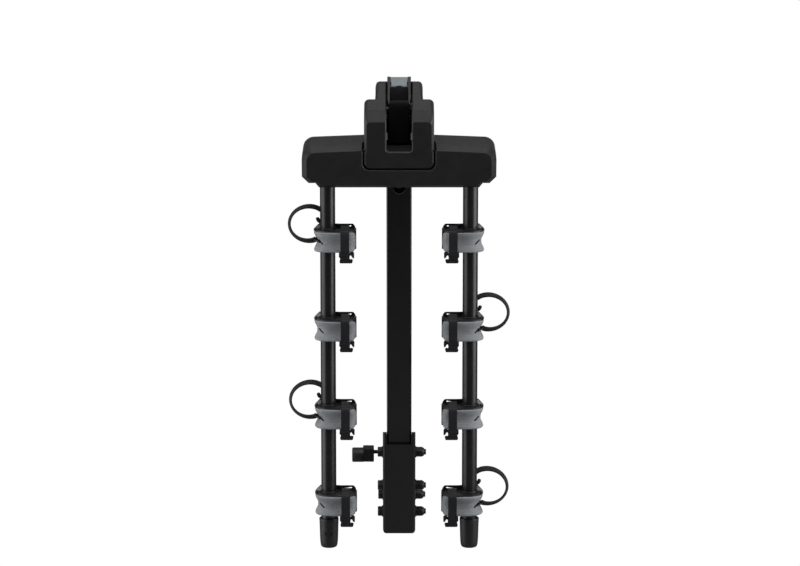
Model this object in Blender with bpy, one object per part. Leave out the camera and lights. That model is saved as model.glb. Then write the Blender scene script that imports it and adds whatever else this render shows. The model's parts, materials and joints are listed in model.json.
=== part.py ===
"""Hitch mounted bike rack: tilting mast, folding arms, four pairs of cradles.

All sizes are in millimetres and are turned into metres when a mesh is made.
World frame: +X to the rack's right, +Y towards the vehicle, +Z up.  The origin is
on the hitch tube's bottom face, straight under the hitch pin hole.

Two tilted local frames are used.  "Mast" coordinates have their origin on the arm
pivot and Z along the leaning mast.  "Arm" coordinates have their origin on one arm
tube's axis, with Z straight up while the arms hang folded.
"""

import math

import bmesh
import bpy
from mathutils import Matrix, Vector

# ---------------------------------------------------------------- driving sizes
MM = 0.001
GAP = 0.3                      # clearance between two touching pieces

HITCH_SIZE = 50.8              # 2 inch square hitch tube and mast
HITCH_WALL = 4.8
HITCH_REAR = 70.0              # vehicle end, past the pin hole
HITCH_LENGTH = 360.0
HITCH_PIN_RADIUS = 8.0
MAST_WALL = 3.2
MAST_LEAN = math.radians(8.0)  # the mast's top leans away from the vehicle

PLATE = 7.9                    # bracket plate, 5/16 inch
BRACKET_INSIDE = HITCH_SIZE / 2 + GAP
BRACKET_OUTSIDE = BRACKET_INSIDE + PLATE

TILT_PIVOT_Y = HITCH_REAR - HITCH_LENGTH + 30.0
TILT_PIVOT_Z = HITCH_SIZE / 2
ARM_PIVOT_Y = -487.0
ARM_PIVOT_Z = 862.0
ARM_PLANE_Y = -587.0           # the hanging arms' axes
ARM_X = 140.0                  # half the distance between the arms
ARM_RADIUS = 15.0
ARM_WALL = 3.0
ARM_TOP_Z = 756.7
ARM_BOTTOM_Z = 4.0
CROSS_SIZE = 40.0
CROSS_Z = ARM_TOP_Z + GAP + CROSS_SIZE / 2
CROSS_HALF_LENGTH = 160.0

ROW_TOP_Z = 617.1
ROW_PITCH = 176.0
ROW_COUNT = 4
PAD_HALF_HEIGHT = 19.7

BOLT_RADIUS = 6.2
BOLT_HOLE = 6.6
HEX_ACROSS = 19.0
BOLT_HEAD = 10.6
NUT_LENGTH = 17.4
BOLT_END_X = 55.8
MAST_BOTTOM = -886.0           # mast coordinates from here on
MAST_TOP = 28.0
BRACKET_BOTTOM = -890.9
BRACKET_FRONT_TOP = -694.4
BRACKET_SIDE_TOP = -669.1
MAST_BOLTS = {"upper": -722.6, "middle": -796.5, "lower": -854.7}
CABLE_HOLE_Z = -152.0
CABLE_HOLE_RADIUS = 12.0
PULL_PIN_Y = 112.6
PULL_PIN_Z = -765.5
PULL_PIN_RADIUS = 4.0
LOCK_PLATE_X = (-20.0, -10.0)

HINGE_PLATE = 6.0
HINGE_OUTSIDE = BRACKET_INSIDE + HINGE_PLATE
PIVOT_BOLT_RADIUS = 6.5
PIVOT_HOLE = 6.85
SECTOR_RADIUS = 45.0
SECTOR_HALF_WIDTH = 5.0
FOLD_ANGLE = 95.0              # degrees from hanging to carrying
LATCH_Y = -50.6
LATCH_RADIUS = 5.0
LATCH_TRAVEL = 3.2
LEVER_PIVOT = (-108.0, 30.0)
LEVER_PEG = (-108.0, 37.5)     # draws the latch link forward
LEVER_PIN_RADIUS = 3.0
LEVER_HALF_WIDTH = 22.0

HEAD_FRONT = -155.0
HEAD_SEAM = -60.0
HEAD_BACK = -42.0
HEAD_HALF_WIDTH = 189.3
HEAD_TOP = -34.9
HEAD_WALL = 3.0
HUMP_HALF_WIDTH = 67.75
NECK_HALF_WIDTH = 47.2
CHANNEL_HALF_WIDTH = 24.7
CHANNEL_LIP = -44.6            # the lever channel's lower end

COLOURS = {                    # name: colour, roughness, metallic
    "black_coat": ((0.018, 0.018, 0.019), 0.38, 0.4),
    "black_plastic": ((0.030, 0.030, 0.032), 0.5, 0.0),
    "grey_rubber": ((0.150, 0.160, 0.172), 0.7, 0.0),
    "black_rubber": ((0.020, 0.020, 0.022), 0.65, 0.0),
    "black_fastener": ((0.035, 0.035, 0.036), 0.4, 0.8),
    "bare_steel": ((0.450, 0.450, 0.460), 0.35, 1.0),
    "grip_grey": ((0.170, 0.220, 0.235), 0.6, 0.0),
}


# ---------------------------------------------------------------- scene helpers
def clear_scene():
    for item in list(bpy.data.objects):
        bpy.data.objects.remove(item)


def material(slot):
    found = bpy.data.materials.get(slot)
    if found:
        return found
    colour, roughness, metallic = COLOURS[slot]
    made = bpy.data.materials.new(slot)
    made.use_nodes = True
    shader = made.node_tree.nodes["Principled BSDF"]
    shader.inputs["Base Color"].default_value = (*colour, 1.0)
    shader.inputs["Roughness"].default_value = roughness
    shader.inputs["Metallic"].default_value = metallic
    return made


def empty(name, location, parent=None, turn_x=0.0):
    item = bpy.data.objects.new(name, None)
    item.location = [value * MM for value in location]
    item.rotation_euler = (turn_x, 0.0, 0.0)
    item.parent = parent
    bpy.context.collection.objects.link(item)
    return item


def place(name, mesh, slot, parent, smooth_angle=35.0):
    """Put a mesh in the scene as one named sub-part."""
    mesh.name = name
    if slot and not mesh.materials:
        mesh.materials.append(material(slot))
    mesh.shade_smooth()
    mesh.set_sharp_from_angle(angle=math.radians(smooth_angle))
    item = bpy.data.objects.new(name, mesh)
    item.parent = parent
    bpy.context.collection.objects.link(item)
    return item


def cutter(name, mesh, parent):
    item = bpy.data.objects.new("cut_" + name, mesh)
    item.parent = parent
    item.hide_render = True
    item.display_type = "WIRE"
    bpy.context.collection.objects.link(item)
    return item


def boolean(item, tool, operation="DIFFERENCE"):
    modifier = item.modifiers.new(tool.name, "BOOLEAN")
    modifier.object = tool
    modifier.operation = operation
    modifier.solver = "EXACT"


def cut(item, name, mesh, operation="DIFFERENCE"):
    boolean(item, cutter(name, mesh, item.parent), operation)


def mirrored(mesh):
    """A copy of a mesh reflected in its YZ plane, faces still pointing out."""
    copy = mesh.copy()
    copy.transform(Matrix.Scale(-1.0, 4, Vector((1.0, 0.0, 0.0))))
    copy.flip_normals()
    return copy


def finished_mesh(item):
    """The mesh of an object with its modifiers worked out."""
    graph = bpy.context.evaluated_depsgraph_get()
    return bpy.data.meshes.new_from_object(item.evaluated_get(graph))


def remove(item):
    for modifier in item.modifiers:
        bpy.data.objects.remove(modifier.object)
    bpy.data.objects.remove(item)


# ---------------------------------------------------------------- mesh helpers
def loft(sections, closed=False):
    """Skin equal rings of points; cap the ends, or join last to first if closed."""
    mesh = bpy.data.meshes.new("loft")
    shape = bmesh.new()
    rings = [[shape.verts.new(Vector(point) * MM) for point in ring] for ring in sections]
    pairs = list(zip(rings, rings[1:]))
    if closed:
        pairs.append((rings[-1], rings[0]))
    count = len(rings[0])
    for low, high in pairs:
        for index in range(count):
            following = (index + 1) % count
            shape.faces.new((low[index], low[following], high[following], high[index]))
    if not closed:
        shape.faces.new(rings[0])
        shape.faces.new(rings[-1])
    bmesh.ops.recalc_face_normals(shape, faces=shape.faces)
    shape.to_mesh(mesh)
    shape.free()
    return mesh


def along_x(outline, x):
    return [(x, a, b) for a, b in outline]


def along_y(outline, y):
    return [(a, y, b) for a, b in outline]


def along_z(outline, z):
    return [(a, b, z) for a, b in outline]


def prism(outline, low, high, place_on=along_x):
    return loft([place_on(outline, low), place_on(outline, high)])


def tube(outer, inner, low, high, place_on):
    """A straight pipe with any equal-count outer and inner outlines."""
    rings = [place_on(outer, low), place_on(outer, high), place_on(inner, high), place_on(inner, low)]
    return loft(rings, closed=True)


def box(low, high):
    outline = [(low[0], low[1]), (high[0], low[1]), (high[0], high[1]), (low[0], high[1])]
    return prism(outline, low[2], high[2], along_z)


def arc(centre, radius, start, end, steps):
    """Points on a circle, angles in degrees, both ends included."""
    points = []
    for index in range(steps + 1):
        angle = math.radians(start + (end - start) * index / steps)
        points.append((centre[0] + radius * math.cos(angle), centre[1] + radius * math.sin(angle)))
    return points


def circle(radius, count, centre=(0.0, 0.0)):
    return arc(centre, radius, 0.0, 360.0, count)[:-1]


def hexagon(across, count, centre=(0.0, 0.0)):
    """A hexagon drawn with the same number of points as a circle of that count."""
    points = []
    for index in range(count):
        angle = 2.0 * math.pi * index / count
        off_flat = (angle + math.pi / 6) % (math.pi / 3) - math.pi / 6
        radius = across / 2 / math.cos(off_flat)
        points.append((centre[0] + radius * math.cos(angle), centre[1] + radius * math.sin(angle)))
    return points


def rounded_box_outline(half_a, half_b, radius, steps=3, centre=(0.0, 0.0)):
    points = []
    for sign_a, sign_b, start in ((1, 1, 0), (-1, 1, 90), (-1, -1, 180), (1, -1, 270)):
        corner = (centre[0] + sign_a * (half_a - radius), centre[1] + sign_b * (half_b - radius))
        points += arc(corner, radius, start, start + 90, steps)
    return points


def turned(profile, count, place_on, centre=(0.0, 0.0)):
    """A solid of revolution from (radius, position) pairs."""
    return loft([place_on(circle(radius, count, centre), at) for radius, at in profile])


# ---------------------------------------------------------------- fasteners
def bolt(name, yz, head_x, end_x, parent, count=12):
    """A hex head bolt along X whose head's outer face is at head_x."""
    seat_x = head_x + BOLT_HEAD
    mesh = loft([
        along_x(hexagon(HEX_ACROSS - 2.0, count, yz), head_x),
        along_x(hexagon(HEX_ACROSS, count, yz), head_x + 1.2),
        along_x(hexagon(HEX_ACROSS, count, yz), seat_x),
        along_x(circle(BOLT_RADIUS, count, yz), seat_x),
        along_x(circle(BOLT_RADIUS, count, yz), end_x - 1.5),
        along_x(circle(BOLT_RADIUS - 1.2, count, yz), end_x),
    ])
    return place(name, mesh, "black_fastener", parent)


def nut(name, yz, seat_x, parent, count=12):
    """A lock nut along X: hex body, then a round collar."""
    collar_x = seat_x + NUT_LENGTH - 5.0
    end_x = seat_x + NUT_LENGTH
    bore = circle(BOLT_RADIUS + GAP, count, yz)
    mesh = loft([
        along_x(bore, seat_x),
        along_x(hexagon(HEX_ACROSS, count, yz), seat_x),
        along_x(hexagon(HEX_ACROSS, count, yz), collar_x),
        along_x(circle(HEX_ACROSS / 2 - 1.0, count, yz), collar_x + 1.0),
        along_x(circle(HEX_ACROSS / 2 - 2.0, count, yz), end_x),
        along_x(bore, end_x),
    ], closed=True)
    return place(name, mesh, "black_fastener", parent)


# ---------------------------------------------------------------- hitch pieces
def hitch_tube(parent):
    half = HITCH_SIZE / 2
    outer = rounded_box_outline(half, half, 5.0, centre=(0.0, half))
    inner = rounded_box_outline(half - HITCH_WALL, half - HITCH_WALL, 2.0, centre=(0.0, half))
    mesh = tube(outer, inner, HITCH_REAR - HITCH_LENGTH, HITCH_REAR, along_y)
    item = place("hitch_tube", mesh, "black_coat", parent)
    holes = {"hitch_pin": (0.0, HITCH_PIN_RADIUS), "tilt_pivot": (TILT_PIVOT_Y, BOLT_HOLE)}
    for name, (y, radius) in holes.items():
        cut(item, name, prism(circle(radius, 24, (y, half)), -40.0, 40.0))


def tilt_lock_plate(parent, pin_yz):
    """The lug on top of the hitch tube that the pull pin locks into."""
    top_radius = 18.0
    foot_z = HITCH_SIZE + GAP
    outline = [(pin_yz[0] - top_radius, foot_z), (pin_yz[0] + 24.0, foot_z)]
    outline += arc(pin_yz, top_radius, 0.0, 180.0, 8)
    item = place("tilt_lock_plate", prism(outline, *LOCK_PLATE_X), "black_coat", parent)
    cut(item, "lock_hole", prism(circle(PULL_PIN_RADIUS + 0.5, 16, pin_yz), -30.0, 0.0))


# ---------------------------------------------------------------- mast pieces
def tilt_bracket(parent, tilt_yz):
    """A bent U of plate: closed in front of the mast, open towards the vehicle."""
    back = 140.0
    outside, inside, bend = BRACKET_OUTSIDE, BRACKET_INSIDE, 5.0
    outline = [(outside, back), (inside, back)]
    outline += [(inside, -inside), (-inside, -inside)]
    outline += [(-inside, back), (-outside, back)]
    outline += arc((bend - outside, bend - outside), bend, 180.0, 270.0, 3)
    outline += arc((outside - bend, bend - outside), bend, 270.0, 360.0, 3)
    mesh = prism(outline, BRACKET_BOTTOM, BRACKET_SIDE_TOP, along_z)
    item = place("tilt_bracket", mesh, "black_coat", parent)

    ear = 27.0
    side = [(-60.0, BRACKET_BOTTOM - 5.0), (-60.0, BRACKET_SIDE_TOP + 5.0), (-25.0, BRACKET_SIDE_TOP - 0.5)]
    side += arc((PULL_PIN_Y - 2.0, PULL_PIN_Z), ear, 66.0, 0.0, 4)
    side += arc((tilt_yz[0], tilt_yz[1]), ear, 0.0, -85.0, 5)
    cut(item, "bracket_side", prism(side, -50.0, 50.0), "INTERSECT")
    face = [(-60.0, -600.0), (60.0, -600.0), (60.0, -880.0)]
    face += arc((outside - 7.0, BRACKET_BOTTOM + 7.0), 7.0, 0.0, -90.0, 4)
    face += arc((7.0 - outside, BRACKET_BOTTOM + 7.0), 7.0, -90.0, -180.0, 4)
    face += [(-60.0, -880.0)]
    cut(item, "bracket_face", prism(face, -60.0, 160.0, along_y), "INTERSECT")

    notch = box((-inside, -50.0, BRACKET_FRONT_TOP), (inside, 0.0, BRACKET_SIDE_TOP + 10.0))
    cut(item, "bracket_notch", notch)
    for name, z in MAST_BOLTS.items():
        cut(item, "bracket_bolt_" + name, prism(circle(BOLT_HOLE, 16, (0.0, z)), -40.0, 40.0))
    cut(item, "bracket_pivot", prism(circle(BOLT_HOLE, 16, tilt_yz), -40.0, 40.0))
    pin_yz = (PULL_PIN_Y, PULL_PIN_Z)
    cut(item, "bracket_pin", prism(circle(PULL_PIN_RADIUS + 0.4, 16, pin_yz), -40.0, -20.0))


def mast_tube(parent):
    half = HITCH_SIZE / 2
    inside = half - MAST_WALL
    outer = rounded_box_outline(half, half, 4.0)
    inner = rounded_box_outline(inside, inside, 1.5)
    item = place("mast_tube", tube(outer, inner, MAST_BOTTOM, MAST_TOP, along_z), "black_coat", parent)
    for name, z in MAST_BOLTS.items():
        cut(item, "mast_bolt_" + name, prism(circle(BOLT_HOLE, 16, (0.0, z)), -40.0, 40.0))
    cut(item, "mast_pivot", prism(circle(PIVOT_HOLE, 24), -40.0, 40.0))
    cable = circle(CABLE_HOLE_RADIUS, 32, (0.0, CABLE_HOLE_Z))
    cut(item, "mast_cable_hole", prism(cable, -40.0, 40.0, along_y))
    window = box((-inside, -half - 5.0, -48.0), (inside, -inside + 2.0, MAST_TOP + 10.0))
    cut(item, "mast_window", window)


def notch_points(angle, opening=5.6, depth=9.0):
    """Four corners of a square notch in the sector's rim, in order of falling angle."""
    direction = Vector((math.cos(math.radians(angle)), math.sin(math.radians(angle))))
    across = Vector((-direction.y, direction.x))
    rim = math.sqrt(SECTOR_RADIUS ** 2 - opening ** 2)
    corners = ((rim, 1), (rim - depth, 1), (rim - depth, -1), (rim, -1))
    return [tuple(direction * reach + across * opening * side) for reach, side in corners]


def latch_sector(parent):
    """The fixed plate in the mast's top with one notch for each arm position."""
    foot = 21.5
    outline = [(foot, -70.0), (foot, 39.0)]
    outline += notch_points(180.0 - FOLD_ANGLE)[::-1]
    outline += arc((0.0, 0.0), SECTOR_RADIUS, 95.0, 170.0, 8)
    outline += notch_points(180.0)[::-1]
    outline += arc((0.0, 0.0), SECTOR_RADIUS, 190.0, 215.0, 3)
    outline += [(-foot, -42.0), (-foot, -70.0)]
    mesh = prism(outline, -SECTOR_HALF_WIDTH, SECTOR_HALF_WIDTH)
    item = place("latch_sector", mesh, "bare_steel", parent)
    cut(item, "sector_pivot", prism(circle(PIVOT_HOLE, 24), -20.0, 20.0))


def arm_pivot_bolt(parent):
    end = HINGE_OUTSIDE + GAP
    mesh = loft([
        along_x(hexagon(HEX_ACROSS, 24), -end - 8.0),
        along_x(hexagon(HEX_ACROSS, 24), -end),
        along_x(circle(PIVOT_BOLT_RADIUS, 24), -end),
        along_x(circle(PIVOT_BOLT_RADIUS, 24), end),
        along_x(circle(9.0, 24), end),
        along_x(circle(9.0, 24), end + 4.0),
        along_x(circle(7.0, 24), end + 6.0),
    ])
    place("arm_pivot_bolt", mesh, "black_fastener", parent)


def pull_pin_barrel(parent):
    """The threaded body on the bracket's left plate that guides the pull pin."""
    pin_yz = (PULL_PIN_Y, PULL_PIN_Z)
    seat = -BRACKET_OUTSIDE - GAP
    bore = circle(PULL_PIN_RADIUS + 0.4, 12, pin_yz)
    mesh = loft([
        along_x(bore, seat),
        along_x(hexagon(18.0, 12, pin_yz), seat),
        along_x(hexagon(18.0, 12, pin_yz), seat - 6.0),
        along_x(circle(7.5, 12, pin_yz), seat - 6.5),
        along_x(circle(7.0, 12, pin_yz), seat - 10.6),
        along_x(bore, seat - 10.6),
    ], closed=True)
    place("pull_pin_barrel", mesh, "black_fastener", parent)


# ---------------------------------------------------------------- pull pin
def pull_pin(parent):
    pin_yz = (PULL_PIN_Y, PULL_PIN_Z)
    tip = LOCK_PLATE_X[0] - GAP
    profile = [(PULL_PIN_RADIUS - 1.0, tip), (PULL_PIN_RADIUS, tip - 2.0), (PULL_PIN_RADIUS, -68.0)]
    place("pull_pin", turned(profile, 12, along_x, pin_yz), "bare_steel", parent)


def pull_pin_knob(parent):
    """A moulded knob hanging a little below its pin, with a raised inner half."""
    def section(x, top, bottom, half, radius):
        centre = (PULL_PIN_Y, PULL_PIN_Z + (top + bottom) / 2)
        return along_x(rounded_box_outline(half, (top - bottom) / 2, radius, 4, centre), x)

    mesh = loft([
        section(-53.4, 12.0, -20.0, 11.0, 9.0),
        section(-54.6, 13.6, -21.6, 13.0, 11.0),
        section(-76.0, 13.6, -21.6, 13.0, 11.0),
        section(-77.0, 8.3, -21.6, 14.0, 12.0),
        section(-98.2, 8.3, -21.6, 14.0, 12.0),
        section(-99.6, 6.8, -20.0, 12.5, 11.0),
    ])
    item = place("pull_pin_knob", mesh, "black_plastic", parent)
    pin_yz = (PULL_PIN_Y, PULL_PIN_Z)
    cut(item, "knob_bore", prism(circle(PULL_PIN_RADIUS + GAP, 12, pin_yz), -69.0, -50.0))


# ---------------------------------------------------------------- head structure
def hinge_frame(parent):
    """Two plates from the arm pivot to the cross tube, joined by a web."""
    outline = [(-93.3, -93.0), (-87.8, -52.8), (-126.5, -47.3), (-126.5, 33.0), (-119.0, 37.5)]
    outline.append((-100.0, 38.0))
    outline += arc((0.0, 0.0), 24.0, 100.0, -100.0, 10)
    item = place("hinge_frame", prism(outline, -HINGE_OUTSIDE, HINGE_OUTSIDE), "black_coat", parent)
    inside = [(-78.0, -120.0), (60.0, -120.0), (60.0, 80.0), (-140.0, 80.0), (-140.0, -40.0), (-78.0, -40.0)]
    cut(item, "hinge_inside", prism(inside, -BRACKET_INSIDE, BRACKET_INSIDE))
    cut(item, "hinge_pivot", prism(circle(PIVOT_HOLE, 24), -50.0, 50.0))
    cut(item, "hinge_lever_pin", prism(circle(LEVER_PIN_RADIUS + GAP, 12, LEVER_PIVOT), -50.0, 50.0))
    slot_reach = LATCH_RADIUS + 0.5
    slot = arc((LATCH_Y - LATCH_TRAVEL - 2.0, 0.0), slot_reach, 90.0, 270.0, 6)
    slot += arc((LATCH_Y + 10.0, 0.0), slot_reach, -90.0, 90.0, 6)
    cut(item, "hinge_latch_slot", prism(slot, -50.0, 50.0))


def cross_tube(parent):
    half = CROSS_SIZE / 2
    outer = rounded_box_outline(half, half, 3.0, 2)
    inner = rounded_box_outline(half - 3.0, half - 3.0, 1.0, 2)
    mesh = tube(outer, inner, -CROSS_HALF_LENGTH, CROSS_HALF_LENGTH, along_x)
    place("cross_tube", mesh, "black_coat", parent)


def head_outline(inset=0.0, top_drop=0.0):
    """The crossbar's front view: rounded top corners, cut lower corners, a lower boss."""
    half = HEAD_HALF_WIDTH - inset
    top = HEAD_TOP - top_drop
    radius = 22.0 - inset * 0.5
    low = -111.5 + inset * 0.5
    boss = -120.3 + inset * 0.6
    boss_half = 159.0 - inset * 0.3
    corner = 13.0 - inset * 0.3
    right = [(boss_half - 3.0, boss), (boss_half + 4.0, low), (half - corner, low), (half, low + corner)]
    right += arc((half - radius, top - 4.8 - radius), radius, 0.0, 82.0, 5)
    left = [(-x, z) for x, z in reversed(right)]
    return right + [(0.0, top)] + left


def crossbar_cover(parent):
    """Front shell round the cross tube, open at the back."""
    wall = HEAD_WALL
    mesh = loft([
        along_y(head_outline(14.0, 12.6), HEAD_FRONT),
        along_y(head_outline(), HEAD_FRONT + 17.0),
        along_y(head_outline(), HEAD_SEAM),
        along_y(head_outline(wall, wall), HEAD_SEAM),
        along_y(head_outline(wall, wall), HEAD_FRONT + 18.0),
        along_y(head_outline(16.0, 14.6), HEAD_FRONT + wall),
    ])
    item = place("crossbar_cover", mesh, "black_plastic", parent)
    opening = [(-70.0, 0.0)]
    opening += arc((-58.0, -69.0), 12.0, 180.0, 270.0, 4)
    opening += arc((58.0, -69.0), 12.0, 270.0, 360.0, 4)
    opening += [(70.0, 0.0)]
    cut(item, "cover_tongue", prism(opening, HEAD_FRONT - 5.0, -102.5, along_y))
    neck = NECK_HALF_WIDTH + GAP
    cut(item, "cover_neck", box((-neck, -110.0, -50.0), (neck, -50.0, 0.0)))
    for x in (-ARM_X, ARM_X):
        hole = prism(circle(ARM_RADIUS + 2.5, 24, (x, -117.5)), -150.0, -80.0, along_z)
        cut(item, "cover_arm_" + ("left" if x < 0 else "right"), hole)


def rear_cover(parent):
    """Back shell of the crossbar, with a gate for the hinge frame and the mast."""
    wall = HEAD_WALL
    front = HEAD_SEAM + GAP
    mesh = loft([
        along_y(head_outline(8.0, 8.0), HEAD_BACK),
        along_y(head_outline(), HEAD_BACK - 8.0),
        along_y(head_outline(), front),
        along_y(head_outline(wall, wall), front),
        along_y(head_outline(wall, wall), HEAD_BACK - 9.0),
        along_y(head_outline(10.0, 10.0), HEAD_BACK - wall),
    ])
    item = place("rear_cover", mesh, "black_plastic", parent)
    gate = NECK_HALF_WIDTH + GAP
    cut(item, "rear_gate", box((-gate, -70.0, -84.0), (gate, -30.0, 0.0)))


def hump_section(y, half, top, bottom, radius, low_radius=1.0):
    outline = arc((half - low_radius, bottom + low_radius), low_radius, -90.0, 0.0, 4)
    outline += arc((half - radius, top - radius), radius, 0.0, 90.0, 4)
    outline += arc((radius - half, top - radius), radius, 90.0, 180.0, 4)
    outline += arc((low_radius - half, bottom + low_radius), low_radius, 180.0, 270.0, 4)
    return along_y(outline, y)


def centre_cover(parent):
    """The tongue and hump over the latch, with the lever's channel down its middle."""
    wall = HEAD_WALL
    wide = loft([
        hump_section(HEAD_FRONT - 0.8, HUMP_HALF_WIDTH - 4.0, 14.0, -74.5, 7.0, 9.0),
        hump_section(HEAD_FRONT + 6.0, HUMP_HALF_WIDTH, 22.5, -78.5, 9.0, 12.0),
        hump_section(HEAD_FRONT + 16.0, HUMP_HALF_WIDTH, 35.0, -78.5, 10.0, 12.0),
        hump_section(-103.0, HUMP_HALF_WIDTH, 47.4, -78.5, 10.0, 12.0),
    ])
    item = place("centre_cover", wide, "black_plastic", parent)

    roof = ((-112.0, 42.5), (-103.0, 47.2), (-41.0, 68.6), (-6.0, 64.0), (26.0, 51.0), (46.0, 36.0))

    def neck_sections(inset):
        sections = []
        for y, top in roof:
            half = NECK_HALF_WIDTH - inset - max(0.0, top - 50.0) * 0.12
            sections.append(hump_section(y, half, top - inset, -34.9 - inset, 6.0))
        return sections

    cut(item, "neck_outer", loft(neck_sections(0.0)), "UNION")
    hollow = loft([
        hump_section(HEAD_FRONT + wall, HUMP_HALF_WIDTH - 7.5, 12.0, -71.0, 5.0, 8.0),
        hump_section(HEAD_FRONT + 9.0, HUMP_HALF_WIDTH - wall, 20.5, -75.5, 7.0, 9.0),
        hump_section(HEAD_FRONT + 18.0, HUMP_HALF_WIDTH - wall, 32.0, -75.5, 8.0, 9.0),
        hump_section(-103.0 - wall, HUMP_HALF_WIDTH - wall, 43.6, -75.5, 8.0, 9.0),
    ])
    cut(item, "hump_hollow", hollow)
    inner = neck_sections(wall)
    inner[0] = [(x, -109.0, z) for x, y, z in inner[0]]
    inner[-1] = [(x, 50.0, z) for x, y, z in inner[-1]]
    cut(item, "neck_hollow", loft(inner))
    cut(item, "hump_floor", box((-80.0, HEAD_FRONT + 9.0, -90.0), (80.0, -60.2, -34.6)))
    cut(item, "hump_back", box((-60.0, -104.0, -60.0), (60.0, -60.2, -34.6)))
    channel = box((-CHANNEL_HALF_WIDTH, -170.0, CHANNEL_LIP), (CHANNEL_HALF_WIDTH, -32.0, 100.0))
    cut(item, "lever_channel", channel)
    ledge = [(-153.5, CHANNEL_LIP - 4.0), (-153.5, CHANNEL_LIP), (-130.5, CHANNEL_LIP + 6.5)]
    ledge += [(-130.5, CHANNEL_LIP + 3.5), (-146.0, CHANNEL_LIP - 4.0)]
    ledge_half = CHANNEL_HALF_WIDTH + 0.6
    cut(item, "channel_ledge", prism(ledge, -ledge_half, ledge_half), "UNION")


# ---------------------------------------------------------------- lever and latch
def release_lever(parent):
    """Two ears with the grip's saddle between them, and a plate hanging below the pivot."""
    outline = [(-36.0, 77.6), (-60.0, 64.0), (-109.0, 47.4), (-113.5, 45.4), (-117.6, 36.0), (-119.4, 14.0)]
    outline += [(-119.4, -14.0), (-118.4, -36.4), (-113.6, -36.8), (-114.9, -12.0), (-115.0, 14.0)]
    outline += arc(LEVER_PIVOT, 8.0, 210.0, 310.0, 4)
    outline += [(-60.0, 17.0), (-56.5, 20.0), (-38.0, 68.0)]
    mesh = prism(outline, -LEVER_HALF_WIDTH, LEVER_HALF_WIDTH)
    item = place("release_lever", mesh, "black_plastic", parent)
    cut(item, "lever_bore", prism(circle(LEVER_PIN_RADIUS + GAP, 12, LEVER_PIVOT), -30.0, 30.0))
    pocket = [(-30.0, 73.0), (-61.0, 57.5), (-66.0, 22.0), (-97.0, 27.5), (-109.5, 39.0), (-112.5, 90.0)]
    pocket += [(-34.0, 95.0)]
    cut(item, "lever_pocket", prism(pocket, -18.0, 18.0))
    cut(item, "lever_peg", prism(circle(2.0, 12, LEVER_PEG), 20.0, 25.0), "UNION")


def lever_grip(parent):
    half = 17.7
    outline = [(-36.6, 70.6), (-60.6, 59.4), (-61.2, 62.5), (-57.5, 67.5), (-40.0, 77.0), (-36.5, 76.0)]
    place("lever_grip", prism(outline, -half, half), "grip_grey", parent)


def lever_pin(parent):
    profile = [(5.0, -36.0), (5.0, -32.5), (LEVER_PIN_RADIUS, -32.0), (LEVER_PIN_RADIUS, 44.0)]
    place("lever_pin", turned(profile, 12, along_x, LEVER_PIVOT), "bare_steel", parent)


def lever_spring(parent):
    """A torsion spring round the lever pin, outside the right hinge plate."""
    coil_radius, wire, turns, steps, sides = 5.6, 0.8, 4, 12, 6
    start_x, pitch = HINGE_OUTSIDE + 1.6, 2.1
    sections = []
    for index in range(turns * steps + 1):
        angle = 2.0 * math.pi * index / steps
        along = start_x + pitch * index / steps
        ring = []
        for side in range(sides):
            spread = 2.0 * math.pi * side / sides
            reach = coil_radius + wire * math.cos(spread)
            y = LEVER_PIVOT[0] + reach * math.cos(angle)
            z = LEVER_PIVOT[1] + reach * math.sin(angle)
            ring.append((along + wire * math.sin(spread), y, z))
        sections.append(ring)
    place("lever_spring", loft(sections), "bare_steel", parent)


def latch_pin(parent):
    radius, chamfer = LATCH_RADIUS, 1.0
    profile = [(radius - chamfer, -36.0), (radius, -35.0), (radius, 35.0), (radius - chamfer, 36.0)]
    place("latch_pin", turned(profile, 16, along_x, (LATCH_Y, 0.0)), "bare_steel", parent)


def latch_link(parent):
    """The flat link that draws the latch pin out when the lever is pulled."""
    outline = arc((LATCH_Y, 0.0), 9.0, -130.0, 60.0, 6)
    outline += [(-88.0, 36.5), (-104.0, 40.8), (-109.0, 40.6), (-112.0, 39.4), (-112.5, 34.0)]
    outline += [(-96.0, 33.0), (-89.0, 30.0)]
    item = place("latch_link", prism(outline, 22.3, 25.3), "bare_steel", parent)
    cut(item, "link_eye", prism(circle(LATCH_RADIUS + GAP, 16, (LATCH_Y, 0.0)), 10.0, 40.0))
    slot = rounded_box_outline(2.4, 2.75, 2.3, 3, (LEVER_PEG[0], LEVER_PEG[1] - 0.35))
    cut(item, "link_slot", prism(slot, 10.0, 40.0))


# ---------------------------------------------------------------- arms
def arm_tube(name, parent):
    mesh = tube(circle(ARM_RADIUS, 24), circle(ARM_RADIUS - ARM_WALL, 24), ARM_BOTTOM_Z, ARM_TOP_Z, along_z)
    place(name, mesh, "black_coat", parent)


def end_cap(name, parent, lock_slots):
    inner = ARM_RADIUS + GAP
    profile = [
        (12.0, -2.0), (15.6, -0.6), (17.4, 4.5), (18.0, 14.0), (19.0, 54.0), (19.3, 57.5), (19.0, 58.0),
        (17.6, 58.0), (inner, 51.0), (inner, 2.5),
    ]
    item = place(name, turned(profile, 24, along_z), "black_plastic", parent)
    if not lock_slots:
        return
    for x in (-11.5, 2.8):
        slot = box((x, -25.0, 25.0), (x + 8.7, -ARM_RADIUS - 1.0, 32.0))
        cut(item, "cap_slot_%s" % ("left" if x < 0 else "right"), slot)


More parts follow.
